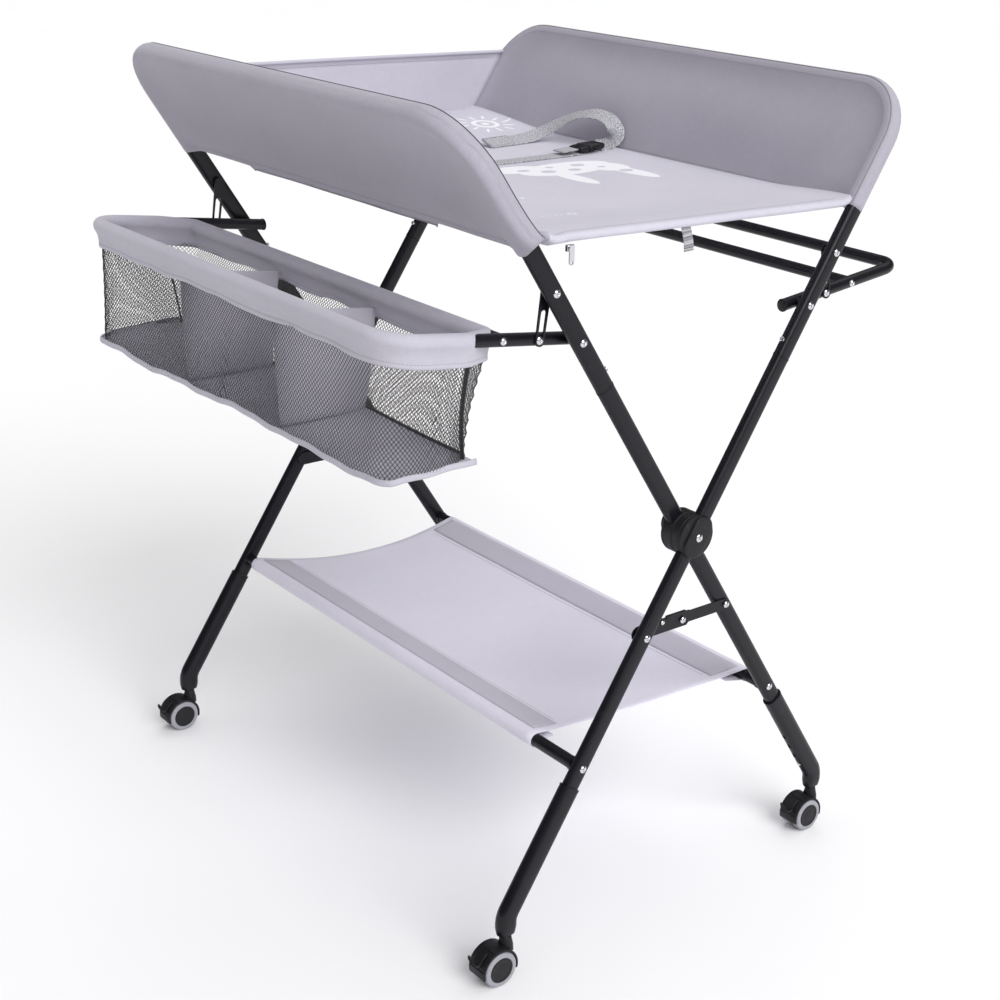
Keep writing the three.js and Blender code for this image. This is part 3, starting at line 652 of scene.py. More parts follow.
def make_sleeves():
    """Foot sleeves with their row of button holes, bent upright and tapered at the foot."""
    for key, toward in FRAMES.items():
        down = np.array([0, toward * SIN, -COS])
        for end, side in ENDS.items():
            x = side * FOOT_X[key]
            knee = np.array([x, 0, FOOT_BEND])
            drop = (lean(key) @ Vector(knee)).z - FOOT_Z
            path = fillet([(x, 0, SLEEVE_TOP), knee, knee + down * drop], FOOT_BEND_R, 12)
            steps = np.linalg.norm(np.diff(path, axis=0), axis=1)
            tail = mm([9, 3.5, 0])
            left = np.concatenate([np.cumsum(steps[::-1])[::-1], tail])
            path = np.concatenate([path[:-1], path[-1] - down * tail[:, None]])
            scale = np.where(left < 6 * MM, 0.86 + 0.12 * np.clip(left / (6 * MM), 0, 1), 1.0)
            solid = joined([sweep(path, oval(SLEEVE[1], SLEEVE[0]), Y_AXIS, scale=scale),
                            ring_lip((x, 0, SLEEVE_TOP - 2 * MM), SLEEVE)])
            bore = [(x, 0, SLEEVE_TOP + 5 * MM), (x, 0, FOOT_BEND + 22 * MM)]
            tools = [sweep(bore, oval(LEG[1] + 0.4 * MM, LEG[0] + 0.4 * MM), Y_AXIS)]
            for k in range(FOOT_HOLES):
                centre = Vector((x, toward * SLEEVE[0], FOOT_BUTTON_AT + FOOT_HOLE_PITCH * k))
                hole = [centre + Vector((0, d, 0)) for d in (-5 * MM, 5 * MM)]
                tools.append(sweep(hole, disc(3.6 * MM, 20), Z_AXIS))
            piece = carved(f"sleeve_{key}_{end}", solid, tools, ENAMEL, lean(key))
            fit(piece, f"foot_{key}_{end}", f"foot_sleeve_{key}_{end}")


def dome(radius, height, lip=0.5 * MM, recess=0.0):
    """A low domed head on the X axis, its seat at x = 0, with an optional cross recess."""
    rise = [(0, height), (radius * 0.35, height * 0.97), (radius * 0.7, height * 0.78),
            (radius * 0.92, height * 0.42), (radius, lip), (radius, -0.4 * MM), (0, -0.4 * MM)]
    if recess:
        rise = [(0, height - recess), (radius * 0.16, height - recess * 0.9),
                (radius * 0.42, height - recess * 0.1), *rise[2:]]
    points, faces = lathe(rise[::-1], 28)
    if recess:
        bars = [sweep([(height - recess, 0, 0), (height - 0.15 * MM, 0, 0)],
                      np.array([(-a, -b), (a, -b), (a, b), (-a, b)]), (0, 0, 1))
                for a, b in ((radius * 0.4, 0.35 * MM), (0.35 * MM, radius * 0.4))]
        return joined([(points, faces), *bars])
    return points, faces


def head(place, side, radius, height, recess=0.0):
    """A dome set on the row frame, facing out along X on its side."""
    points, faces = dome(radius, height, recess=recess)
    spin = Matrix.Rotation(0 if side > 0 else math.pi, 4, "Z")
    return moved(points, Matrix.Translation(Vector(place)) @ spin), faces


def screws(name, body, spots, radius=4.8 * MM, height=2.3 * MM):
    """Silver screws on one body; spots are (place, facing side along X)."""
    heads = [head(place, side, radius, height, recess=0.9 * MM) for place, side in spots]
    fit(build(name, *joined(heads), STEEL, sharp=40), body)


def make_screws():
    for key in FRAMES:
        stations = [STAY_AT, PIVOT_AT, ROD_AT] + ([BRACE_AT] if key == "a" else [])
        spots = [(on_leg(key, end, s, LEG[1]), side) for end, side in ENDS.items() for s in stations]
        screws(f"screws_frame_{key}", f"frame_{key}", spots)
    for name in RAILS:
        arm = arm_x(name)
        spots = [(rail_place(name, CROSS_AT, side * (arm + RAIL_R)), side) for side in (1, -1)]
        pins = [(rail_place(name, PIN_AT, side * (arm + RAIL_R + 2 * MM)), side) for side in (1, -1)]
        screws(f"screws_{name}", name, spots, 4.2 * MM)
        screws(f"stay_pins_{name}", name, pins, 4.6 * MM, 2.0 * MM)
    for end, side in ENDS.items():
        a, b = pivot(f"brace_a_{end}_lift"), pivot(f"brace_b_{end}_lift")
        for kind, key, x, y, z, size in (
            ("rivet", "a", 0.3825, HUB.y - 2 * MM, a.z, mm([4.4])),
            ("stud", "a", 0.3822, a.y + 38 * MM, a.z + 5 * MM, mm([2.8, 1.6])),
            ("bolt", "b", 0.3806, b.y, b.z, mm([4.4])),
        ):
            spot = ((sided(x, side), y, z), side)
            screws(f"brace_{kind}_{end}", f"brace_{key}_{end}", [spot], *size)


def make_buttons():
    """Domed heads on the spring buttons: upper ones stand proud, foot ones fill a hole."""
    kinds = (("snap", SNAP_AT, LEG[0] + 1.1 * MM, -1, 1.6 * MM),
             ("foot", FOOT_BUTTON_AT, 12.6 * MM, 1, 2.4 * MM))
    for key, toward in FRAMES.items():
        for end, side in ENDS.items():
            for kind, station, out, facing, height in kinds:
                sign = facing * toward
                turn = Matrix.Rotation(math.radians(90) * sign, 4, "Z")
                place = Matrix.Translation((side * FOOT_X[key], sign * out, station))
                points, faces = dome(3.15 * MM, height)
                points = moved(points, lean(key) @ place @ turn)
                piece = build(f"{kind}_head_{key}_{end}", points, faces, STEEL, sharp=40)
                fit(piece, f"{kind}_button_{key}_{end}")


# ---------------------------------------------------------------- rack, basket rails and stays
def arm_x(name):
    """Distance of a rail's arms from the middle."""
    return FOOT_X[RAILS[name][0]] - ARM_IN


def rail_place(name, reach, x=0.0, up=0.0):
    """Row-frame place on a tilted rail: reach outwards from its pivot, x from the middle."""
    key, base = RAILS[name][:2]
    y = reach * math.cos(RAIL_TILT) - up * math.sin(RAIL_TILT)
    z = reach * math.sin(RAIL_TILT) + up * math.cos(RAIL_TILT)
    return Vector((MID_X + x, base.y + FRAMES[key] * y, base.z + z))


def make_rails():
    """Each rail loop from one arm's tail round to the other's, with its cross rail and bosses."""
    for name, (key, _, reach, bend) in RAILS.items():
        arm = arm_x(name)
        up = rail_place(name, 0, 0, 1) - rail_place(name, 0)
        corners = [rail_place(name, r, s * arm)
                   for r, s in ((-TAIL, 1), (reach, 1), (reach, -1), (-TAIL, -1))]
        parts = [sweep(fillet(corners, bend, 14), disc(RAIL_R, 24), up),
                 sweep([rail_place(name, CROSS_AT, s * arm) for s in (-1, 1)], disc(RAIL_R, 24), up)]
        plugs = []
        for side in (1, -1):
            boss = [rail_place(name, 0, side * (arm + x)) for x in (4 * MM, 13.1 * MM)]
            parts.append(sweep(boss, disc(BOSS_R, 24), up))
            points, faces = dome(RAIL_R + 0.5 * MM, 2.6 * MM, lip=1.6 * MM)
            tail = Matrix.Translation(rail_place(name, -TAIL, side * arm))
            outward = Matrix.Rotation(math.radians(-90) * FRAMES[key], 4, "Z")
            plugs.append((moved(points, tail @ outward), faces))
        rails = build(f"rails_{name}", *joined(parts), ENAMEL, sharp=40)
        fit(rails, name, f"{name}_rails")
        fit(build(f"rail_plugs_{name}", *joined(plugs), PLASTIC, sharp=40), name)


def resampled(path, step, closed=False):
    """The path at equal steps of about that length."""
    path = np.asarray(path, float)
    if closed:
        path = np.concatenate([path, path[:1]])
    gaps = np.linalg.norm(np.diff(path, axis=0), axis=1)
    along = np.concatenate([[0], np.cumsum(gaps)])
    count = max(2, int(round(along[-1] / step)))
    wanted = np.linspace(0, along[-1], count + 1)[: count if closed else count + 1]
    return np.stack([np.interp(wanted, along, path[:, k]) for k in range(3)], 1)


def make_stays():
    """Slotted two-bar stays with rounded ends, on their own bodies."""
    a = np.linspace(0, math.pi, 13)

    def arc(wide, high, middle, turns):
        return [(wide * MM * math.cos(t), middle * MM + high * MM * math.sin(t)) for t in turns]

    outline = np.array(arc(7, 7, 0, a) + arc(5.85, 4.5, -57.5, a + math.pi))
    slot = np.array(arc(3.6, 3.6, -25, a) + arc(3.6, 3.6, -55, a + math.pi))
    plate = sweep(mm([(0, 0, 0), (1.9, 0, 0)]), outline, Z_AXIS)
    cutter = sweep(mm([(-5, 0, 0), (8, 0, 0)]), slot, Z_AXIS)
    boss = sweep(mm([(0.95, 0, 0), (5.2, 0, 0)]), disc(BOSS_R, 24), Z_AXIS)
    for name, (key, *_) in RAILS.items():
        out = FRAMES[key]
        for end, side in ENDS.items():
            body = f"{name}_stay_{end}"
            joint, pin = pivot(f"{body}_swing"), rail_place(name, PIN_AT)
            rest = math.atan2(out * (pin.y - joint.y), joint.z - pin.z)
            place = (Matrix.Translation((joint.x - side * 1.5 * MM, joint.y, joint.z))
                     @ Matrix.Scale(side, 4, (1, 0, 0)) @ Matrix.Rotation(rest * out, 4, "X"))
            bar, tool, cap = ((p, [f[::side] for f in faces]) for p, faces in (plate, cutter, boss))
            piece = carved(f"stay_{name}_{end}", bar, [tool], ENAMEL, place)
            fit(piece, body, body)
            cap = build(f"stay_boss_{name}_{end}", moved(cap[0], place), cap[1], ENAMEL, 40)
            fit(cap, body)


# ---------------------------------------------------------------- wings
COVER = 1.2 * MM  # cloth over the tube's side
COVER_H = LEG[0] + 0.9 * MM  # cloth over the tube's wide way


def wing_size(key):
    grown = LEG[1] + COVER
    return FOOT_X[key] + grown, WING_TOP + grown, WING_BEND + grown


def wing_half(key, x, s):
    """Half thickness of the wing's cloth at (x, s): over the tube, then drawn in between."""
    half, top, bend = wing_size(key)
    side, up = half - np.abs(x), top - s
    corner = (side < bend) & (up < bend)
    d = np.where(corner, bend - np.hypot(bend - side, bend - up), np.minimum(side, up))
    d = np.clip(d, 0, None)
    rim = 8.4 * MM
    edge = COVER_H * np.sqrt(np.clip(1 - (1 - np.clip(d / rim, 0, 1)) ** 2, 0, 1))
    flat = 5.6 * MM + (COVER_H - 5.6 * MM) * np.exp(-np.clip(d - 14 * MM, 0, None) / (20 * MM))
    h = np.where(d < rim, edge, np.where(d < 14 * MM, COVER_H, flat))
    low = smooth01((s - WING_FOOT) / (34 * MM))
    mid = smooth01((side - 17 * MM) / (26 * MM))
    h = h * (1 - mid * (1 - low)) + 3.0 * MM * mid * (1 - low) * np.minimum(1, d / rim)
    ripple = 0.45 * MM * np.sin(x * 31 + s * 17) * np.sin(s * 43 - x * 9) * smooth01(d / (40 * MM))
    return h + ripple * mid


def wing_bow(key, x, s):
    """The bottom hem is drawn up a little in the middle."""
    half, top, _ = wing_size(key)
    fade = np.clip(1 - (s - WING_FOOT) / (top - WING_FOOT), 0, 1) ** 2
    return s + 1.5 * MM * (1 - (x / half) ** 2) * fade


def wing_spread(key, x, s):
    """The near end of the basket-side wing is drawn out past its leg to the bed's corner."""
    if key == "a":
        return x, s
    low = np.exp(-np.clip(s - WING_FOOT, 0, None) / 0.034)
    drawn = smooth01((x - 0.361) / 0.017) * low
    return x + 20 * MM * drawn, s + 16 * MM * drawn**2


def wing_dish(key, x, s):
    """How far the cloth between the tubes sinks towards the bed, along the frame's own Y."""
    half, top, _ = wing_size(key)
    up = np.clip((s - WING_FOOT - 0.02) / (top - WING_FOOT - 0.05), 0, 1)
    across = np.clip(1 - (x / (half - 0.03)) ** 6, 0, 1)
    return -FRAMES[key] * 5.5 * MM * np.sin(math.pi * up) ** 1.5 * across


def wing_loop(key, inset):
    """The wing's outline moved in by inset, from one foot over the top to the other."""
    half, top, bend = wing_size(key)
    r = max(bend - inset, 3 * MM)
    x, up = half - inset, top - inset
    rise = [(-x, s) for s in np.linspace(WING_FOOT, up - r, 16)[:-1]]
    turn = np.linspace(0, math.pi / 2, 13)
    first = [(-x + r - r * math.cos(t), up - r + r * math.sin(t)) for t in turn]
    level = [(t, up) for t in np.linspace(-x + r, x - r, 72)[1:-1]]
    left = np.array(rise + first)
    return np.concatenate([left, level, left[::-1] * [-1, 1]])


def wing_cover(key):
    near = [0, 0.15, 0.6, 1.3, 2.3, 3.6, 5.2, 7, 9, 11.5, 14, 17, 21, 26, 32]
    insets = np.concatenate([near, np.linspace(40, 178, 22)]) * MM
    rows = [wing_loop(key, d) for d in insets]
    last = rows[-1].copy()
    last[:, 1] = WING_FOOT
    rows.append(last)
    n, m = len(rows), len(rows[0])
    flat = np.concatenate(rows)
    x, s = flat[:, 0], flat[:, 1]
    h, dish = wing_half(key, x, s), wing_dish(key, x, s)
    x, s = wing_spread(key, x, wing_bow(key, x, s))
    front = np.stack([x, dish + h, s], 1)
    back = np.stack([x, dish - h, s], 1)
    faces = grid_faces(n, m)
    total = n * m
    other = [tuple(total + i for i in f)[::-1] for f in faces]
    hem = [r * m for r in range(n)] + [(n - 1) * m + c for c in range(1, m)]
    hem += [r * m + m - 1 for r in range(n - 2, -1, -1)]
    bridge = [(a, total + a, total + b, b) for a, b in zip(hem, hem[1:])]
    points = moved(np.concatenate([front, back]), lean(key))
    weave = np.concatenate([flat, flat + [0.3, 0.7]])
    # The wing cover's cloth carries painted shade: a darker tone for the shade the wings are in.
    cover = build(f"wing_cover_{key}", points, faces + other + bridge, WING_CLOTH_PAINTED_SHADE, weave=weave)
    tidy(cover)
    return cover


def wing_line(key, sign, inset=None, level=None, margin=0.0, lift=0.0, step=6 * MM):
    """A path on a wing's face: round its edge at an inset, or level at a height above the hem."""
    half = wing_size(key)[0]
    if inset is not None:
        loop = wing_loop(key, inset)
    else:
        x = np.linspace(-half + margin, half - margin, 120)
        loop = np.stack([x, np.full(120, WING_FOOT + level)], 1)
    x, s = loop.T
    y = wing_dish(key, x, s) + sign * (wing_half(key, x, s) + lift)
    x, s = wing_spread(key, x, wing_bow(key, x, s))
    return resampled(moved(np.stack([x, y, s], 1), lean(key)), step)


def make_wings():
    for key, toward in FRAMES.items():
        body, inner = f"frame_{key}", -toward
        cover = fit(wing_cover(key), node=f"wing_{key}")
        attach(cover, body)
        path = wing_line(key, inner, inset=4.6 * MM, lift=0.1 * MM)
        look = PIPING if key == "b" else GREY_PIPING
        piping = sweep(path, disc(0.85 * MM, 8), ACROSS[key])
        fit(build(f"wing_piping_{key}", *piping, look, sharp=50), body)
        for kind, sign in (("out", toward), ("in", inner)):
            line = wing_line(key, sign, level=8.5 * MM, margin=24 * MM)
            stitched(f"wing_stitches_{kind}_{key}", line, ACROSS[key] * sign, body)
        line = wing_line(key, inner, inset=15 * MM)
        stitched(f"wing_topstitch_{key}", line, ACROSS[key] * inner, body, radius=0.3 * MM)


# ---------------------------------------------------------------- bed and end panel
BED_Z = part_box("bed")[1].z
PANEL_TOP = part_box("end_panel")[1].z
BED_X = (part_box("end_panel")[0].x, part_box("bed")[1].x + 1.5 * MM)


def wing_face(z, inside=COVER_H):
    """Distance from the middle to a wing's inner face at height z."""
    return (z - HUB.z) * math.tan(SPLAY) - inside / COS


BED_HALF = wing_face(BED_Z) + 3 * MM


def bed_rise(x):
    return 15 * MM * smooth01((-(x - MID_X) - 0.16) / 0.23)


def bed_top(x, y):
    """Height of the bed's upper face: slack in the middle, drawn up at the wings and far end."""
    v = (y - HUB.y) / BED_HALF
    u = (x - MID_X) / 0.39
    slack = 3.5 * MM * (1 - v**2) * (1 - np.clip(u, -1, 1) ** 4)
    taut = (9.7 - 2.8 * v) * MM * smooth01(((x - MID_X) - 0.24) / 0.15)
    lip = 4.5 * MM * np.exp(-BED_HALF * (1 - np.abs(v)) / (5 * MM))
    soft = 0.5 * MM * np.sin(x * 23 + 1) * np.sin(y * 29 + x * 7)
    corner = np.exp(-(((x - MID_X - 0.372) / 0.013) ** 2) - ((y - HUB.y + BED_HALF - 0.012) / 0.011) ** 2)
    return BED_Z + bed_rise(x) + taut - slack + lip + soft * (1 - v**2) - 5.5 * MM * corner


def make_bed():
    thick, half = 9.5 * MM, 4.75 * MM
    x0, x1 = BED_X
    xs = np.linspace(x0 + half, x1 - half, 120)
    turn = np.linspace(0, math.pi, 9)[1:-1]
    rows = []
    for y in HUB.y + BED_HALF * np.sin(np.linspace(-math.pi / 2, math.pi / 2, 70)):
        top = bed_top(xs, np.full_like(xs, y))
        near = [(x1 - half + half * math.sin(t), top[-1] - half + half * math.cos(t)) for t in turn]
        far = [(x0 + half - half * math.sin(t), top[0] - half - half * math.cos(t)) for t in turn]
        ring = [*zip(xs, top), *near, *zip(xs[::-1], top[::-1] - thick), *far]
        rows.append([(x, y, z) for x, z in ring])
    rows = np.array(rows)
    piece = skin("bed_cover", rows, BED_CLOTH, rows[..., :2] - (0, HUB.y))
    fit(piece, node="bed")
    bend_across(piece)
    for kind, x in (("near", x1 - 12 * MM), ("far", x0 + 14 * MM)):
        y = np.linspace(HUB.y - BED_HALF + 14 * MM, HUB.y + BED_HALF - 14 * MM, 90)
        line = np.stack([np.full_like(y, x), y, bed_top(np.full_like(y, x), y)], 1)
        bend_across(stitched(f"bed_stitches_{kind}", line, Z_AXIS))


def bend_across(piece, half=None):
    """Bakes the piece's placement into its own points."""
    half = half or BED_HALF - 8 * MM
    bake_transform(piece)
    return piece


def panel_x(y, z):
    """The end panel runs inside the wide frame's sleeve and outside the narrow one's."""
    across = smooth01((y - HUB.y + wing_face(z)) / (2 * wing_face(z)))
    low, high = BED_X[0] + 2.5 * MM, BED_X[0] + 6 * MM
    bow = 4 * MM * np.sin(math.pi * np.clip(across, 0, 1))
    return high + (low - high) * across - bow * (z - BED_Z) / (PANEL_TOP - BED_Z)


def make_end_panel():
    """The low cloth wall at the far end, with a rolled top hem."""
    z0 = BED_Z + bed_rise(np.array(BED_X[0])) - 4 * MM
    tops = z0 + (PANEL_TOP - z0 - 3 * MM) * np.linspace(0, 1, 16)
    thick, hem = 1.6 * MM, 2.6 * MM
    rows = []
    for v in np.linspace(-1, 1, 64):
        y = HUB.y + v * wing_face(tops, LEG[0])
        x = panel_x(y, tops)
        row = [*zip(x - thick, y, tops)]
        for t in np.linspace(0, 1.5 * math.pi, 12):
            row.append((x[-1] + 0.6 * MM - hem * math.cos(t), y[-1], tops[-1] + hem * math.sin(t)))
        row += zip(x[:-2][::-1] + thick, y[:-2][::-1], tops[:-2][::-1])
        rows.append(row)
    rows = np.array(rows)
    piece = skin("end_panel_cloth", rows, CLOTH, rows[..., 1:] - (HUB.y, 0))
    fit(piece, node="end_panel")
    half = wing_face(BED_Z) - 10 * MM
    bend_across(piece, half)
    y = np.linspace(HUB.y - 0.27, HUB.y + 0.27, 120)
    z = np.full_like(y, PANEL_TOP - 11 * MM)
    line = np.stack([panel_x(y, z) + thick, y, z], 1)
    bend_across(stitched("end_panel_stitches", line, (1, 0, 0)), half)


# ---------------------------------------------------------------- basket
BAG_X = arm_x("basket") - 3 * MM  # half length of the walls
BAG_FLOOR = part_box("basket_bag")[0].z + 1 * MM
BAND_DROP = 28 * MM
DIVIDERS = (-0.104, 0.112)


def cloth_sheet(name, grid, thick, look, weave):
    """A closed sheet from a grid of points, with softly rounded borders."""
    n, m = grid.shape[:2]
    normal = np.cross(np.gradient(grid, axis=0), np.gradient(grid, axis=1))
    normal /= np.maximum(np.linalg.norm(normal, axis=2, keepdims=True), 1e-12)
    sides = [(grid + s * normal * thick / 2).reshape(-1, 3) for s in (1, -1)]
    faces = grid_faces(n, m)
    total = n * m
    faces += [tuple(total + i for i in f)[::-1] for f in grid_faces(n, m)]
    border = [c for c in range(m)] + [r * m + m - 1 for r in range(1, n)]
    border += [(n - 1) * m + c for c in range(m - 2, -1, -1)] + [r * m for r in range(n - 2, 0, -1)]
    flat, normals, weave = grid.reshape(-1, 3), normal.reshape(-1, 3), weave.reshape(-1, 2)
    centre, outward = flat.mean(0), []
    for k, i in enumerate(border):
        after = (k + 1) % len(border)
        out = np.cross(flat[border[after]] - flat[border[k - 1]], normals[i])
        out /= max(np.linalg.norm(out), 1e-12)
        if np.dot(out, flat[i] - centre) < 0:
            out = -out
        outward.append(flat[i] + out * thick * 0.35)
        a, b, p, q = i, border[after], 2 * total + k, 2 * total + after
        faces += [(a, p, q, b), (p, total + a, total + b, q)]
    weave = np.concatenate([weave, weave, weave[border]])
    piece = build(name, np.concatenate([*sides, outward]), faces, look, weave=weave)
    tidy(piece, merge=1e-7)
    return fit(piece)


def rim_loop(step=7 * MM):
    """The basket's rim: over the arms, the front rail and the cross rail, as (reach, x)."""
    arm = arm_x("basket")
    in_x, in_reach = 20 * MM, CROSS_AT + 42 * MM
    corners = [(CROSS_AT, 0), (CROSS_AT, arm - in_x), (in_reach, arm), (BASKET_REACH, arm)]
    corners += [(reach, -x) for reach, x in corners[::-1]]
    bends = [0.012, 0.012, BASKET_BEND, BASKET_BEND, 0.012, 0.012]
    return resampled(fillet([(r, x, 0) for r, x in corners], bends, 12), step)[:-1, :2]


RIM = rim_loop()
RIM_POINTS = np.array([rail_place("basket", r, x) for r, x in RIM])
RIM_GAPS = np.linalg.norm(np.roll(RIM_POINTS, -1, 0) - RIM_POINTS, axis=1)


def band_outline():
    """Section of the cloth sleeve: round over the rail, then two layers hanging close together."""
    r = RAIL_R + 1.5 * MM
    turn = np.linspace(math.radians(-38), math.radians(218), 17)
    hood = [(r * math.cos(t), r * math.sin(t)) for t in turn]
    left = [(-3.6, -12), (-2.5, -17), (-1.8, -21.5), (-1.6, -23), (-1.9, -24.5), (-1.9, -27), (-1.1, -28.4)]
    left = [(a * MM, b * MM) for a, b in left]
    right = [(-a, b) for a, b in left[::-1]]
    return np.array(hood + left + right)


def make_band():
    outline = band_outline()
    points, faces = sweep(RIM_POINTS, outline, Z_AXIS, closed=True)
    grid = points.reshape(len(RIM_POINTS), len(outline), 3)
    along = np.concatenate([[0], np.cumsum(RIM_GAPS)[:-1]])
    depth = np.clip(-outline[:, 1] / BAND_DROP, 0, 1)
    side = np.cross(directions(RIM_POINTS, closed=True), Z_AXIS)
    wave = 1.1 * MM * np.sin(along / 0.031) + 0.9 * MM * np.sin(along / 0.013 + 2)
    far = smooth01((-RIM_POINTS[:, 0] + MID_X - 0.27) / 0.06)
    wave = wave * (1 + 1.6 * far)
    grid += side[:, None] * (wave[:, None] * depth[None, :])[..., None]
    dip = 1.2 * MM * np.sin(along / 0.045 + 1) + 0.6 * MM * np.sin(along / 0.017)
    grid[..., 2] += dip[:, None] * depth[None, :]
    crush = 0.6 * MM * np.sin(along / 0.009) * far
    grid += side[:, None] * (crush[:, None] * np.sin(depth * math.pi)[None, :])[..., None]
    around = np.concatenate([[0], np.cumsum(np.linalg.norm(np.diff(outline, axis=0), axis=1))])
    weave = np.stack(np.broadcast_arrays(along[:, None], around[None, :]), -1).reshape(-1, 2)
    band = build("basket_band", grid.reshape(-1, 3), faces, CLOTH, weave=weave)
    tidy(band)
    fit(band, node="basket_bag")
    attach(band, "basket")
    for kind, sign in (("out", 1), ("in", -1)):
        spot = np.argmin(np.abs(outline[:, 1] + 23 * MM) + (np.sign(outline[:, 0]) != sign))
        line = np.concatenate([grid[:, spot], grid[:1, spot]])
        normal = np.concatenate([side, side[:1]]) * sign
        stitched(f"basket_stitches_{kind}", line, normal, "basket")


def wall_point(share, down):
    """A point on the basket's walls: share round the loop from 0 to 1, down from 0 to 1."""
    n = len(RIM_POINTS)
    f = np.asarray(share, float) % 1 * n
    low = np.floor(f).astype(int) % n
    part = (f - np.floor(f))[..., None]
    top = RIM_POINTS[low] * (1 - part) + RIM_POINTS[(low + 1) % n] * part
    reach = RIM[low, 0] * (1 - part[..., 0]) + RIM[(low + 1) % n, 0] * part[..., 0]
    down = np.asarray(down, float)
    top_z = top[..., 2] - BAND_DROP + 3 * MM
    x = top[..., 0] - MID_X
    back = 1 - smooth01((reach - CROSS_AT) / (BASKET_REACH - CROSS_AT))
    lean_out = (19 * MM + 5 * MM * x / 0.35) * back + 3 * MM * (1 - back)
    floor_z = BAG_FLOOR + 5 * MM * smooth01(back) + 2 * MM * np.sin(x * 14 + 1)
    inward = 7 * MM * np.sin(math.pi * down) * (0.5 + 0.5 * np.sin(x * 26 + 0.6))
    ends = smooth01((np.abs(x) - 0.30) / 0.05) * np.sin(math.pi * down) * 5 * MM
    y = top[..., 1] - lean_out * down + inward * np.where(back > 0.5, -0.6, 1)
    x = top[..., 0] - np.sign(x) * ends - (x > 0) * 5 * MM * down
    z = top_z + (floor_z - top_z) * down
    return np.stack(np.broadcast_arrays(x, y, z), -1)


def make_net(radius=0.42 * MM, pitch=5.6 * MM, high=0.118):
    """Diamond net over the walls: two crossing families of fine cords."""
    long = RIM_GAPS.sum()
    count = int(round(long / pitch))
    ring = np.array([[math.cos(a), math.sin(a)] for a in (0.5, 2.6, 4.7)])
    down = np.linspace(0, 1, 9)
    points, faces = [], []
    for family in (1, -1):
        for k in range(count):
            line = wall_point(k / count + family * down * high / long, down)
            t = directions(line)
            side = np.cross(t, (0.3, 0.2, 0.93))
            side /= np.linalg.norm(side, axis=1, keepdims=True)
            up = np.cross(side, t)
            cells = line[:, None] + radius * (side[:, None] * ring[:, :1] + up[:, None] * ring[:, 1:])
            start = len(points) * 27
            points.append(cells.reshape(-1, 3))
            faces += [tuple(start + i for i in f) for f in grid_faces(9, 3, wrap_cols=True)]
            faces += [(start + 2, start + 1, start), (start + 24, start + 25, start + 26)]
    return fit(build("basket_net", np.concatenate(points), faces, NET), "basket")


def divider_point(x0, share, down):
    """A point on a divider at x0 from the middle: share from back to front, down from 0 to 1."""
    front = rail_place("basket", BASKET_REACH - 2 * MM, x0)
    back = rail_place("basket", CROSS_AT + 2 * MM, x0)
    top_z = back.z + (front.z - back.z) * share - BAND_DROP + 4 * MM
    y_top = back.y + (front.y - back.y) * share
    back_low = back.y - 20 * MM - 5 * MM * x0 / 0.35
    y_low = back_low + (front.y + 1 * MM - back_low) * share
    y = y_top + (y_low - y_top) * down
    z = top_z + (BAG_FLOOR + 5 * MM - top_z) * down
    x = MID_X + x0 + 6 * MM * np.sin(down * math.pi) * np.sin(share * 5 + x0 * 9) + 10 * MM * down
    return np.stack(np.broadcast_arrays(x, y, z), -1)


def make_dividers():
    share, down = np.meshgrid(np.linspace(0, 1, 24), np.linspace(0, 1, 22), indexing="ij")
    for k, x0 in enumerate(DIVIDERS):
        panel = divider_point(x0, share, down)
        panel[..., 2] += 7 * MM * (1 - down)
        weave = np.stack([share * 0.135, down * 0.12], -1)
        piece = cloth_sheet(f"divider_{k + 1}", panel, 1.6 * MM, CLOTH, weave)
        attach(piece, "basket")


def floor_point(share, across):
    """The basket's floor: share along the table, across from the back edge to the front."""
    x0, x1 = MID_X - BAG_X - 4 * MM, MID_X + BAG_X - 3 * MM
    x = x0 + (x1 - x0) * share
    back = rail_place("basket", CROSS_AT).y - 19 * MM - 5 * MM * (x - MID_X) / 0.35
    end = np.clip((np.abs(x - MID_X) - (BAG_X - 26 * MM)) / (30 * MM), 0, 1)
    front = rail_place("basket", BASKET_REACH).y - 3 * MM
    front = front + 26 * MM * (1 - np.sqrt(np.clip(1 - end**2, 0, 1)))
    y = back + (front - back) * across
    belly = 3 * MM * np.sin(math.pi * across) * np.sin(math.pi * share)
    wave = 1.6 * MM * np.sin(x * 41) * smooth01((across - 0.5) * 2)
    z = BAG_FLOOR + 5 * MM * (1 - across) + 2 * MM * np.sin((x - MID_X) * 14 + 1) - belly + wave
    return np.stack(np.broadcast_arrays(x, y, z), -1)


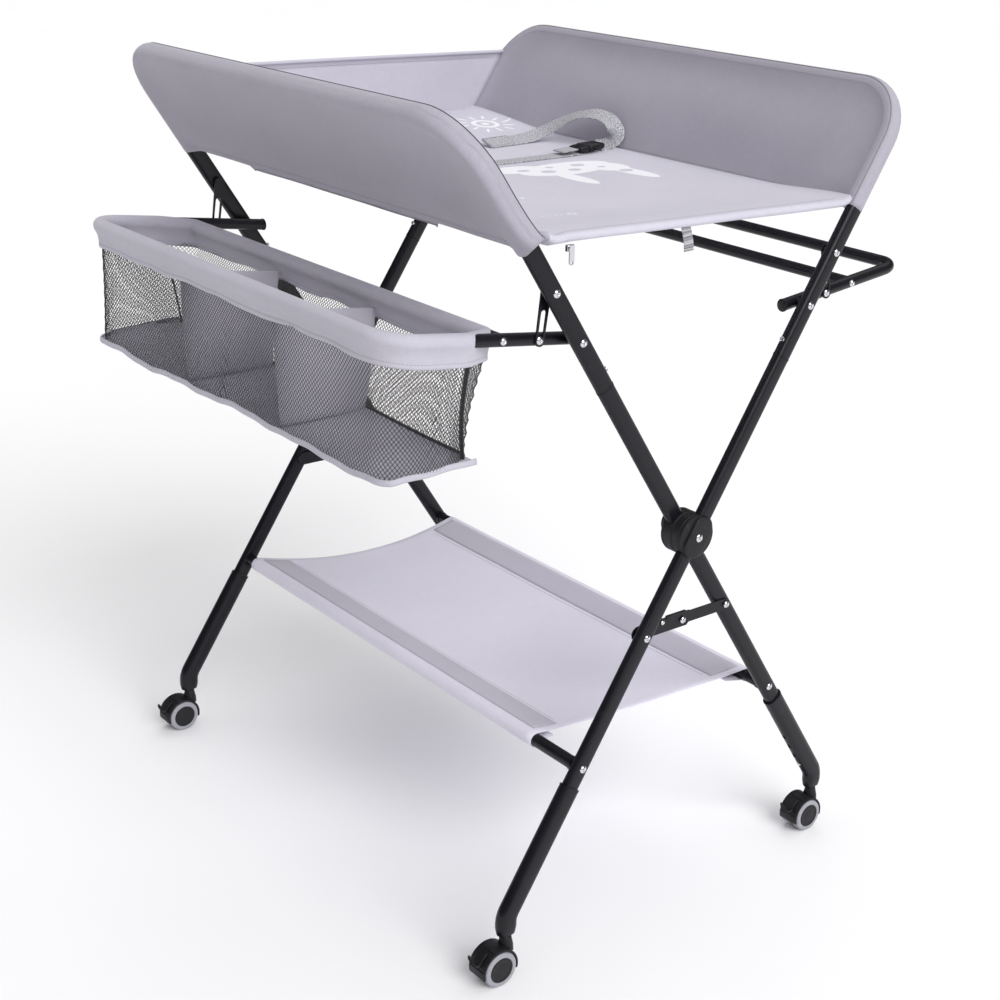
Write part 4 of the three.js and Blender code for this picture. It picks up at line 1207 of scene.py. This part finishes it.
def make_basket_floor(net):
    """The floor panel and the upright hem round its front and ends."""
    share, across = np.meshgrid(np.linspace(0, 1, 130), np.linspace(0, 1, 26), indexing="ij")
    grid = floor_point(share, across)
    piece = cloth_sheet("basket_floor", grid, 1.6 * MM, CLOTH, grid[..., :2])
    rim = floor_point(np.linspace(0.0, 1, 150), np.ones(150))
    t = np.linspace(0, 1, 26)
    near, far = floor_point(np.ones(26), t), floor_point(np.zeros(26), 1 - t)
    line = resampled(np.concatenate([far, rim[1:-1], near[::-1]]), 5 * MM)
    u = np.arange(len(line))
    line[:, 2] += 1.5 * MM + (1.2 * MM * np.sin(u * 0.55) + 0.8 * MM * np.sin(u * 0.23 + 1)) * 0.5
    outline = mm([(-0.9, -3.4), (0.9, -3.4), (1.6, -1.6), (1.2, 0.6), (0.9, 2.6), (0.4, 3.6),
                  (-0.4, 3.6), (-0.9, 2.6), (-1.0, 0.6), (-1.3, -1.6)])
    along = np.repeat(u * 5 * MM, len(outline))
    around = np.tile(np.linspace(0, 0.03, len(outline)), len(line))
    weave = np.stack([along, around], 1)
    hem = build("basket_floor_hem", *sweep(line, outline, Z_AXIS), CLOTH, weave=weave)
    tidy(hem)
    fit(hem, "basket")
    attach(piece, "basket")


def make_bindings():
    """Black tape over the net's back foot, its back corners and the far end's foot."""
    share = np.arange(len(RIM)) / len(RIM)
    tape = mm([(-0.7, -2.6), (0.7, -2.6), (1, -2), (1, 2), (0.7, 2.6), (-0.7, 2.6), (-1, 2), (-1, -2)])
    arm = arm_x("basket")
    reach, x = RIM.T

    def nearest(side, out):
        """Share of the rim point by one arm at a reach past the cross rail."""
        return share[np.argmin(np.abs(x - side * arm) + np.abs(reach - CROSS_AT - out))]

    back = np.array(sorted(share[reach <= CROSS_AT + 8 * MM], key=lambda s: (s + 0.5) % 1))
    far = share[(x < -arm + 1 * MM) & (reach > CROSS_AT) & (reach < BASKET_REACH - 0.03)]
    rows = [("foot", wall_point(back, np.full(len(back), 0.985)), Z_AXIS)]
    down = np.linspace(0, 0.99, 14)
    for end, side in ENDS.items():
        top, foot = nearest(side, 36 * MM), nearest(side, 6 * MM)
        rows.append((f"corner_{end}", wall_point(top + (foot - top) * down, down), (side, 0.3, 0)))
    rows.append(("far_foot", wall_point(far, np.full(len(far), 0.985)), Z_AXIS))
    for name, line, up in rows:
        binding = build(f"basket_binding_{name}", *sweep(line, tape, up), BINDING, sharp=60)
        tidy(binding)
        fit(binding, "basket")


def make_basket():
    make_band()
    make_basket_floor(make_net())
    make_bindings()
    make_dividers()


# ---------------------------------------------------------------- shelf
SHELF_X = {"a": (-0.363, 0.308), "b": (-0.335, 0.334)}
SHELF_THICK = 1.4 * MM
SHELF_REACH, SHELF_Z = -ROD_AT * SIN, HUB.z + ROD_AT * COS


def shelf_profile():
    """Centre line of the cloth from under rod a, round it, over to rod b and under that."""
    r, lap = ROD_R + 0.9 * MM, 27 * MM

    def sag(y):
        return 0.020 * (1 - (y / SHELF_REACH) ** 2)

    under = [(-SHELF_REACH + lap * t + 2 * MM,
              SHELF_Z + r * 0.55 - sag(-SHELF_REACH + lap * t) - 3.2 * MM * t - r * 1.3 * (1 - t))
             for t in np.linspace(1, 0.1, 8)]
    turn = np.linspace(math.radians(-75), math.radians(-280), 16)
    hook = [(-SHELF_REACH + r * math.cos(t), SHELF_Z + r * math.sin(t)) for t in turn]
    left = under + hook
    top = [(y, SHELF_Z + r * 0.985 - sag(y) + sag(-SHELF_REACH + 3 * MM))
           for y in np.linspace(-SHELF_REACH + 5 * MM, SHELF_REACH - 5 * MM, 60)]
    return np.array(left + top + [(-y, h) for y, h in left[::-1]])


def make_shelf():
    """The shelf cloth, the folds sewn over its rods and the seam beside each fold."""
    line = shelf_profile()
    v = np.clip((line[:, 0] + SHELF_REACH) / (2 * SHELF_REACH), 0, 1)
    hollow = np.sin(math.pi * v)
    low, high = (a + (b - a) * v for a, b in zip(SHELF_X["a"], SHELF_X["b"]))
    low, high = low + 20 * MM * hollow, high - 20 * MM * hollow
    u = np.linspace(0, 1, 64)
    x = low[:, None] + (high - low)[:, None] * u[None, :]
    deep = 3.5 * MM * np.sin(math.pi * u) - 0.5 * MM + 0.5 * MM * np.sin(x * 27 + line[:, :1] * 21)
    curl = 2.4 * MM * (np.exp(-u * 60) + np.exp(-(1 - u) * 60))[None, :]
    z = line[:, 1:] + (curl - deep) * hollow[:, None]
    grid = np.stack(np.broadcast_arrays(MID_X + x, HUB.y + line[:, :1], z), -1)
    run = np.concatenate([[0], np.cumsum(np.linalg.norm(np.diff(line, axis=0), axis=1))])
    weave = np.stack(np.broadcast_arrays(x, run[:, None]), -1)
    # The shelf's cloth carries painted light: a lighter tone that makes up for the bed's shadow on it.
    piece = cloth_sheet("shelf_cloth_painted_light", grid, SHELF_THICK, SHELF_CLOTH_PAINTED_LIGHT, weave)
    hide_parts("shelf")
    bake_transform(piece)
    count = np.arange(len(line))
    top = np.flatnonzero((line[:, 1] > SHELF_Z - 15 * MM) & (np.abs(line[:, 0]) < SHELF_REACH - 3 * MM)
                         & (count > 20) & (count < len(line) - 20))
    for name, rows in (("a", top[:8]), ("b", top[-8:])):
        fold = grid[rows][:, 1:-1] + (0, 0, 1.4 * MM)
        hem = cloth_sheet(f"shelf_sleeve_{name}", fold, 0.9 * MM, SLEEVE_CLOTH, weave[rows][:, 1:-1])
        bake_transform(hem)
    for name, row in (("a", top[8]), ("b", top[-9])):
        path = resampled(grid[row, 2:-2] + (0, 0, SHELF_THICK / 2), 8 * MM)
        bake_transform(stitched(f"shelf_stitches_{name}", path, Z_AXIS))


# ---------------------------------------------------------------- hubs, casters and braces


def make_hubs():
    """Two half drums with a parting line; a rounded saddle grips each leg."""
    r = 27 * MM
    for key, (inner, face), (low, top) in (
        ("a", (0.38015, 0.397), (0.383, 0.401)), ("b", (0.37985, 0.361), (0.3775, 0.355)),
    ):
        sign = FRAMES[key]
        edge = [(0, inner), (r - 0.8 * MM, inner), (r, inner + sign * 0.9 * MM)]
        edge += [(r - a * MM, face - sign * b * MM) for a, b in (
            (0, 5.6), (0.5, 5.2), (0.5, 4.6), (0, 4.2), (0, 2.0), (0.7, 0.6), (2.2, 0))]
        edge.append((0, face))
        levels = [low] + [top - sign * d * MM for d in (2.2, 0.9, 0.25, 0)]
        for end, side in ENDS.items():
            profile = [(a, sided(x, side)) for a, x in edge]
            centre = Matrix.Translation((0, HUB.y, HUB.z))
            drum = turned(f"hub_drum_{key}_{end}", profile, centre, PLASTIC, 56, 35)
            fit(drum, f"frame_{key}", f"hub_{key}_{end}")
            points, faces = sweep([(side * x, 0, 0) for x in levels], oval(15.8 * MM, 27.5 * MM, 14),
                                  Z_AXIS, scale=[1, 1, 0.972, 0.93, 0.86])
            grip = build(f"hub_saddle_{key}_{end}", moved(points, lean(key)), faces, PLASTIC)
            fit(crisp(grip, 35), f"frame_{key}")
            if key == "a":
                spot = (sided(0.4009, side), HUB.y - 13 * MM, HUB.z + 5 * MM)
                gate = build(f"hub_gate_mark_{end}", *head(spot, side, 1.3 * MM, 0.5 * MM), PLASTIC)
                fit(gate, "frame_a")
    spots = [((sided(0.401, s), HUB.y, HUB.z), s) for s in ENDS.values()]
    screws("hub_screws", "frame_a", spots, 5 * MM, 2 * MM)


HOOD_R = 25.2 * MM
# caster stem as (radius, height) in millimetres
STEM = [(0, 36), (9.6, 36), (9.2, 43), (7.6, 50), (6.8, 54.5), (6.4, 55.2), (5.6, 55.6), (5.6, 64.5),
        (0, 64.5)]


def make_casters():
    for key in FRAMES:
        for end in ENDS:
            tag = f"{key}_{end}"
            foot = pivot(f"caster_{tag}_swivel")
            place = Matrix.Translation((foot.x, foot.y, 0))
            axle = place @ Matrix.Translation((0, -TRAIL, WHEEL_R))
            make_hood(tag, axle)
            upright = place @ Matrix.Rotation(math.radians(-90), 4, "Y")
            stem = turned(f"stem_{tag}", mm(STEM), upright, PLASTIC)
            fit(stem, f"caster_{tag}")
            make_wheels(tag, axle)
            make_pedal(tag, axle)


def make_hood(tag, axle):
    """The hood over the wheels: pockets for them, an open underside and grip slots."""
    wide = 15.4 * MM
    half = [(-1.4 * MM, 0), (-0.4 * MM, 0.5 * MM), (0, 1.5 * MM)]
    rim = [(HOOD_R + r, x - wide) for r, x in half]
    rim += [(r, -x) for r, x in rim[::-1]]
    shell = lathe([(0, -wide), *rim, (0, wide)], 64)
    pocket_r = WHEEL_R + 0.9 * MM
    tools = [lathe([(0, low), (pocket_r, low), (pocket_r, high), (0, high)], 56)
             for low, high in mm([(3.2, 20), (-20, -3.2)])]
    opening = mm([(-30, -20), (30, -20), (30, 12), (-30, 12)])
    tools.append(sweep(mm([(0, -53, -18), (0, 67, -18)]), opening, Z_AXIS))
    for x in (-10.5, -3.5, 3.5, 10.5):
        for turn in np.radians((112, 168)):
            out = Vector((0, math.cos(turn), math.sin(turn)))
            centre = Vector((x * MM, 0, 0)) + HOOD_R * out
            path = [centre - out * 0.9 * MM, centre + out * 3 * MM]
            tools.append(sweep(path, oval(1.3 * MM, 3.6 * MM, 6), (1, 0, 0)))
    hood = carved(f"hood_{tag}", shell, tools, PLASTIC, axle)
    fit(hood, f"caster_{tag}", f"caster_hood_{tag}")


def make_wheels(tag, axle):
    """Twin tyres, and the caps set in their outer faces."""
    r, low, high = WHEEL_R, 3.5 * MM, 16.5 * MM
    tyre = [(0, low), (r - 1.6 * MM, low), (r - 0.5 * MM, low + 0.5 * MM), (r, low + 1.8 * MM)]
    tyre += [(r - a * MM, high - b * MM) for a, b in (
        (0, 2.8), (0.5, 1.2), (1.6, 0.3), (3, 0), (5.8, 0), (6.3, 0.7))]
    tyre.append((0, high - 0.7 * MM))
    cap = [(a * MM, high + b * MM) for a, b in (
        (0, -1.2), (15.4, -1.2), (15.4, 0.2), (14.9, 0.7), (14.1, 0.8), (13.4, 0.35), (9, 0.75), (0, 0.95))]
    for name, profile, look, slot, node in (
        ("tyres", tyre, TYRE, "wheel_grey", f"caster_wheels_{tag}"),
        ("caps", cap, PLASTIC, "black_plastic", None),
    ):
        points, faces = lathe(profile, 56)
        both = joined([(points, faces), (points * (-1, -1, 1), faces)])
        piece = crisp(build(f"{name}_{tag}", moved(both[0], axle), both[1], look), 38)
        fit(piece, f"wheels_{tag}", node)


def make_pedal(tag, axle):
    """Curved brake shoe with two upturned ears."""
    mid = HOOD_R + 2.0 * MM

    def round_axle(radius, turn):
        return np.array([0, radius * math.cos(turn), radius * math.sin(turn)])

    turns = np.radians(np.linspace(122, 161, 14))
    arc, ups = ([round_axle(r, a) for a in turns] for r in (mid, 1))
    parts = [sweep(arc, oval(7.5 * MM, 1.3 * MM, 5), ups)]
    root = round_axle(mid + 1 * MM, math.radians(156))
    for s in (1, -1):
        ear = root + mm([(s, 1, -0.5), (4 * s, -0.6, 0.2), (7 * s, -1.6, 1.4),
                         (9.5 * s, -2.2, 3.4), (11 * s, -2.4, 6)])
        parts.append(sweep(ear, oval(2.6 * MM, 1.2 * MM, 5), (0, -0.5, 0.8), scale=[1, 1, 0.95, 0.8, 0.4]))
    points, faces = joined(parts)
    piece = build(f"brake_{tag}", moved(points, axle), faces, PLASTIC, sharp=45)
    tidy(piece)
    fit(piece, f"brake_{tag}", f"brake_pedal_{tag}")


def soften(node, look, width=0.35 * MM):
    """A CAD node keeps its shape and gets its material and a fine edge round."""
    obj = bpy.data.objects[node]
    obj.data.materials.clear()
    obj.data.materials.append(look)
    weld = obj.modifiers.new("weld", "WELD")
    weld.merge_threshold = 1e-6
    edge = obj.modifiers.new("edge_round", "BEVEL")
    edge.width, edge.segments, edge.limit_method = width, 2, "ANGLE"
    edge.angle_limit = math.radians(40)
    edge.harden_normals = False


def finish_cad_nodes():
    for end in ENDS:
        for key in FRAMES:
            soften(f"brace_{key}_{end}", ENAMEL)
            soften(f"snap_button_{key}_{end}", STEEL, 0.15 * MM)
            soften(f"foot_button_{key}_{end}", STEEL, 0.15 * MM)
    for node in ("zip_slider", "zip_pull"):
        soften(node, STEEL, 0.3 * MM)


# ---------------------------------------------------------------- belt and pull tab
def rounded_box(half_side, half_up, radius, steps=4):
    """Outline of a rectangle with rounded corners."""
    points = []
    for cx, cy, start in ((1, 1, 0), (-1, 1, 90), (-1, -1, 180), (1, -1, 270)):
        for k in range(steps + 1):
            a = math.radians(start + 90 * k / steps)
            points.append((cx * (half_side - radius) + radius * math.cos(a),
                           cy * (half_up - radius) + radius * math.sin(a)))
    return np.array(points)


def make_buckle():
    """Side-release buckle: a socket with side windows and a plug whose prongs show in them."""
    low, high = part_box("buckle_socket")
    middle = Matrix.Translation(((low.x + high.x) / 2, low.y - 1 * MM, BED_Z + 6 * MM))
    yaw, pitch = Matrix.Rotation(math.radians(9), 4, "Z"), Matrix.Rotation(math.radians(2.5), 4, "X")
    place = middle @ yaw @ pitch @ Matrix.Scale(0.87, 4)

    def bar(path, half_side, half_up, radius, **shape):
        """A rounded bar along a path; everything is in millimetres."""
        return sweep(mm(path), rounded_box(half_side * MM, half_up * MM, radius * MM), Z_AXIS, **shape)

    def along(*stations):
        return [(0, y, 0) for y in stations]

    body = bar(along(0, 0.8, 3, 8, 14, 20, 27, 33, 36.2, 37), 17, 5, 3.4,
               scale=[0.86, 0.93, 0.97, 1.0, 0.97, 0.95, 0.90, 0.86, 0.83, 0.76])
    tools = [bar([(s * 13, 12, 0), (s * 20, 12, 0)], 7, 2.7, 1.5) for s in (1, -1)]
    tools.append(bar(along(-2, 9), 12, 2.9, 1.2))
    tools.append(bar([(-12.6, 30, 0), (12.6, 30, 0)], 2.4, 12, 1))
    tools.append(sweep(mm([(0, 14, 4.3), (0, 14, 8)]), oval(7 * MM, 4 * MM, 10), Y_AXIS))
    socket = carved("buckle_shell", body, tools, PLASTIC, place)
    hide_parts("buckle_socket")
    body = bar(along(-19, -18.2, -16, -11, -6, -1.6, -0.6), 15.5, 4.2, 2.8,
               scale=[0.78, 0.86, 0.92, 0.97, 1.0, 0.98, 0.92])
    slots = [bar([(-11.5, y, 0), (11.5, y, 0)], 1.7, 10, 0.8) for y in (-14, -8)]
    plug = carved("buckle_tongue", body, slots, PLASTIC, place)
    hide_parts("buckle_plug")
    outer = ((8, -3), (9, 3), (11, 9), (14.2, 13), (14.9, 16.5), (13.4, 19))
    prongs = [bar(curve_through([(s * x, y, 0) for x, y in outer], 5), 1.7, 2.0, 0.7) for s in (1, -1)]
    prongs.append(bar(along(-3, 17), 1.8, 1.7, 0.6))
    points, faces = joined(prongs)
    fingers = build("buckle_prongs", moved(points, place), faces, PLASTIC, sharp=45)
    tidy(fingers)
    for piece in (socket, plug, fingers):
        fit(piece, "frame_a")


WEB_HALF, WEB_THICK = 12.5 * MM, 1.5 * MM


def curve_through(points, per_span=10):
    """A smooth line through the points (Catmull-Rom)."""
    p = np.array([points[0], *points, points[-1]], float)
    out = []
    for a, b, c, d in zip(p, p[1:], p[2:], p[3:]):
        for t in np.arange(per_span) / per_span:
            out.append(0.5 * (2 * b + (c - a) * t + (2 * a - 5 * b + 4 * c - d) * t**2
                              + (3 * b - a - 3 * c + d) * t**3))
    return np.array([*out, points[-1]])


def webbing_strip(name, path, up=(0, 0, 1), half=WEB_HALF, thick=WEB_THICK):
    path = resampled(path, 4 * MM)
    outline = oval(half, thick / 2, 4)
    outline = np.concatenate([np.linspace(outline[-1], outline[0], 10)[:-1],
                              outline[:5], np.linspace(outline[4], outline[5], 10)[1:-1], outline[5:]])
    points, faces = sweep(path, outline, up)
    along = np.repeat(np.arange(len(path)) * 4 * MM, len(outline))
    across = np.tile(outline[:, 0], len(path))
    piece = build(name, points, faces, WEBBING, weave=np.stack([along, across], 1))
    tidy(piece)
    return piece


def on_bed(x, y, lift=1.2 * MM):
    return (x, y, float(bed_top(np.array(x), np.array(y))) + lift)


SHORT_X = -57 * MM


def make_belt():
    """Two straps with their sewn ends, laid on the bed; the long one loops to the buckle."""
    lying = mm([(-164.9, 124, 4.6), (-166, 145, 4.8), (-166.9, 167, 5), (-167.9, 190, 5.6)])
    start = [on_bed(x, y, lift) for x, y, lift in lying]
    arch = (0, 0, BED_Z) + mm([
        (-166.9, 210, 8), (-162.9, 224.6, 13.5), (-148.9, 240.2, 25.3), (-126.9, 249.2, 36.7),
        (-98.9, 253.1, 44.4), (-76.9, 258.4, 43.5), (-60.9, 261, 37.2), (-53.9, 263, 25.4),
        (-54.9, 260, 13), (-60.5, 252, 7), (-63.5, 240, 6)])
    path = resampled(curve_through([*start, *arch]), 4 * MM)
    tilt = smooth01((np.linspace(0, 1, len(path)) - 0.25) / 0.35)[:, None]
    flat_up, arch_up = np.array([(0.37, -0.06, 1.0)]), np.array([(0.42, -0.30, 0.85)])
    long = webbing_strip("strap_long", path, flat_up * (1 - tilt) + arch_up * tilt)
    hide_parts("belt_strap_long")
    ys = np.linspace(HUB.y - BED_HALF + 10 * MM, 0.196, 40)
    short = webbing_strip("strap_short", [on_bed(SHORT_X, y) for y in ys])
    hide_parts("belt_strap_short")
    patch = [(x + 0.5 * MM, y, h + 1.3 * MM) for x, y, h in start[:3]]
    sewn = webbing_strip("strap_patch", patch, flat_up[0], thick=1.2 * MM, half=13 * MM)
    turn_back = [(SHORT_X, y, BED_Z + h) for y, h in mm([(164, 4.2), (176, 5.8), (190, 6.6)])]
    loop = webbing_strip("strap_turn_back", turn_back, half=WEB_HALF - 0.5 * MM)
    for piece in (long, short, sewn, loop):
        bend_across(piece)
    for k, shift in enumerate((-10 * MM, 10 * MM)):
        run = [(x + shift, y, h + 0.8 * MM - 0.37 * shift) for x, y, h in patch]
        thread = {"pitch": 3 * MM, "length": 2.2 * MM}
        bend_across(stitched(f"strap_stitches_{k + 1}", run, Z_AXIS, **thread))


def make_pull_tab():
    """A short webbing tab that hangs from the bed's near edge and curls inwards."""
    low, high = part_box("pull_tab")
    root = (high.x + 0.5 * MM, (low.y + high.y) / 2, BED_Z)
    line = root + mm([(-6, 0, 4), (-1, 0, 2), (2, 0, -4), (3, 1.5, -12), (2.5, 4, -21), (1, 6, -29)])
    tab = webbing_strip("pull_tab_strip", curve_through(line), (0.3, 1, 0.0), 0.8 * MM, 12 * MM)
    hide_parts("pull_tab")
    bend_across(tab)


# ---------------------------------------------------------------- floor, light and camera
def stage_look():
    look = Look("floor_white", Roughness=0.75)
    broad = look.noise(look.place(), 1.2, 2)
    return look.drive(Base_Color=look.mix(broad, srgb(243, 243, 244), srgb(247, 247, 248)))


def make_stage():
    """A pale floor, and an even white sky that is dimmer for light and gloss than for the camera."""
    size = 60.0
    corners = [(-size, -size, 0), (size, -size, 0), (size, size, 0), (-size, size, 0)]
    build("floor", corners, [(0, 1, 2, 3)], stage_look())
    world = bpy.data.worlds.new("studio")
    world.use_nodes = True
    nodes, links = world.node_tree.nodes, world.node_tree.links
    rays = nodes.new("ShaderNodeLightPath").outputs
    gloss, level = (nodes.new("ShaderNodeMapRange") for _ in range(2))
    background = nodes["Background"]
    links.new(rays["Is Glossy Ray"], gloss.inputs[0])
    links.new(rays["Is Camera Ray"], level.inputs[0])
    links.new(gloss.outputs[0], level.inputs[3])
    links.new(level.outputs[0], background.inputs["Strength"])
    gloss.inputs[3].default_value, gloss.inputs[4].default_value = AMBIENT, AMBIENT_GLOSS
    level.inputs[4].default_value = 1.0
    background.inputs["Color"].default_value = (1, 1, 1, 1)
    bpy.context.scene.world = world


AMBIENT, AMBIENT_GLOSS = 0.45, 0.08


def sun_light(name, toward, strength, spread):
    """A soft distant light that shines from the direction given."""
    lamp = bpy.data.lights.new(name, "SUN")
    lamp.energy, lamp.angle = strength, math.radians(spread)
    obj = bpy.data.objects.new(name, lamp)
    obj.rotation_euler = Vector(toward).to_track_quat("Z", "Y").to_euler()
    bpy.context.scene.collection.objects.link(obj)


def make_lights():
    sun_light("key", (0.86, -0.05, 0.66), 2.45, 42)
    sun_light("top", (-0.2, 0.35, 1.0), 0.85, 60)


def make_camera():
    away = Vector((1.769971, -1.340523, 0.767793))
    azimuth, elevation, roll = (math.radians(d) for d in (48.418, 18.325, 2.334))
    back = Vector((math.sin(azimuth) * math.cos(elevation),
                   -math.cos(azimuth) * math.cos(elevation), math.sin(elevation)))
    across = Vector((0, 0, 1)).cross(back).normalized()
    base = Matrix((across, back.cross(across), back)).transposed()
    turned = base @ Matrix.Rotation(roll, 3, "Z")
    lens = bpy.data.cameras.new("camera")
    lens.sensor_width, lens.lens = 36, 62.44
    lens.shift_x, lens.shift_y = -0.1245, -0.0721
    camera = bpy.data.objects.new("camera", lens)
    camera.matrix_world = Matrix.Translation(HUB + away) @ turned.to_4x4()
    bpy.context.scene.collection.objects.link(camera)
    bpy.context.scene.camera = camera


make_tubes()
make_sleeves()
make_screws()
make_buttons()
make_rails()
make_stays()
make_wings()
make_bed()
make_end_panel()
make_basket()
make_shelf()
make_hubs()
make_casters()
make_belt()
make_buckle()
make_pull_tab()
finish_cad_nodes()
make_stage()
make_lights()
make_camera()
bpy.context.scene.view_settings.view_transform = "Standard"
bpy.context.view_layer.update()
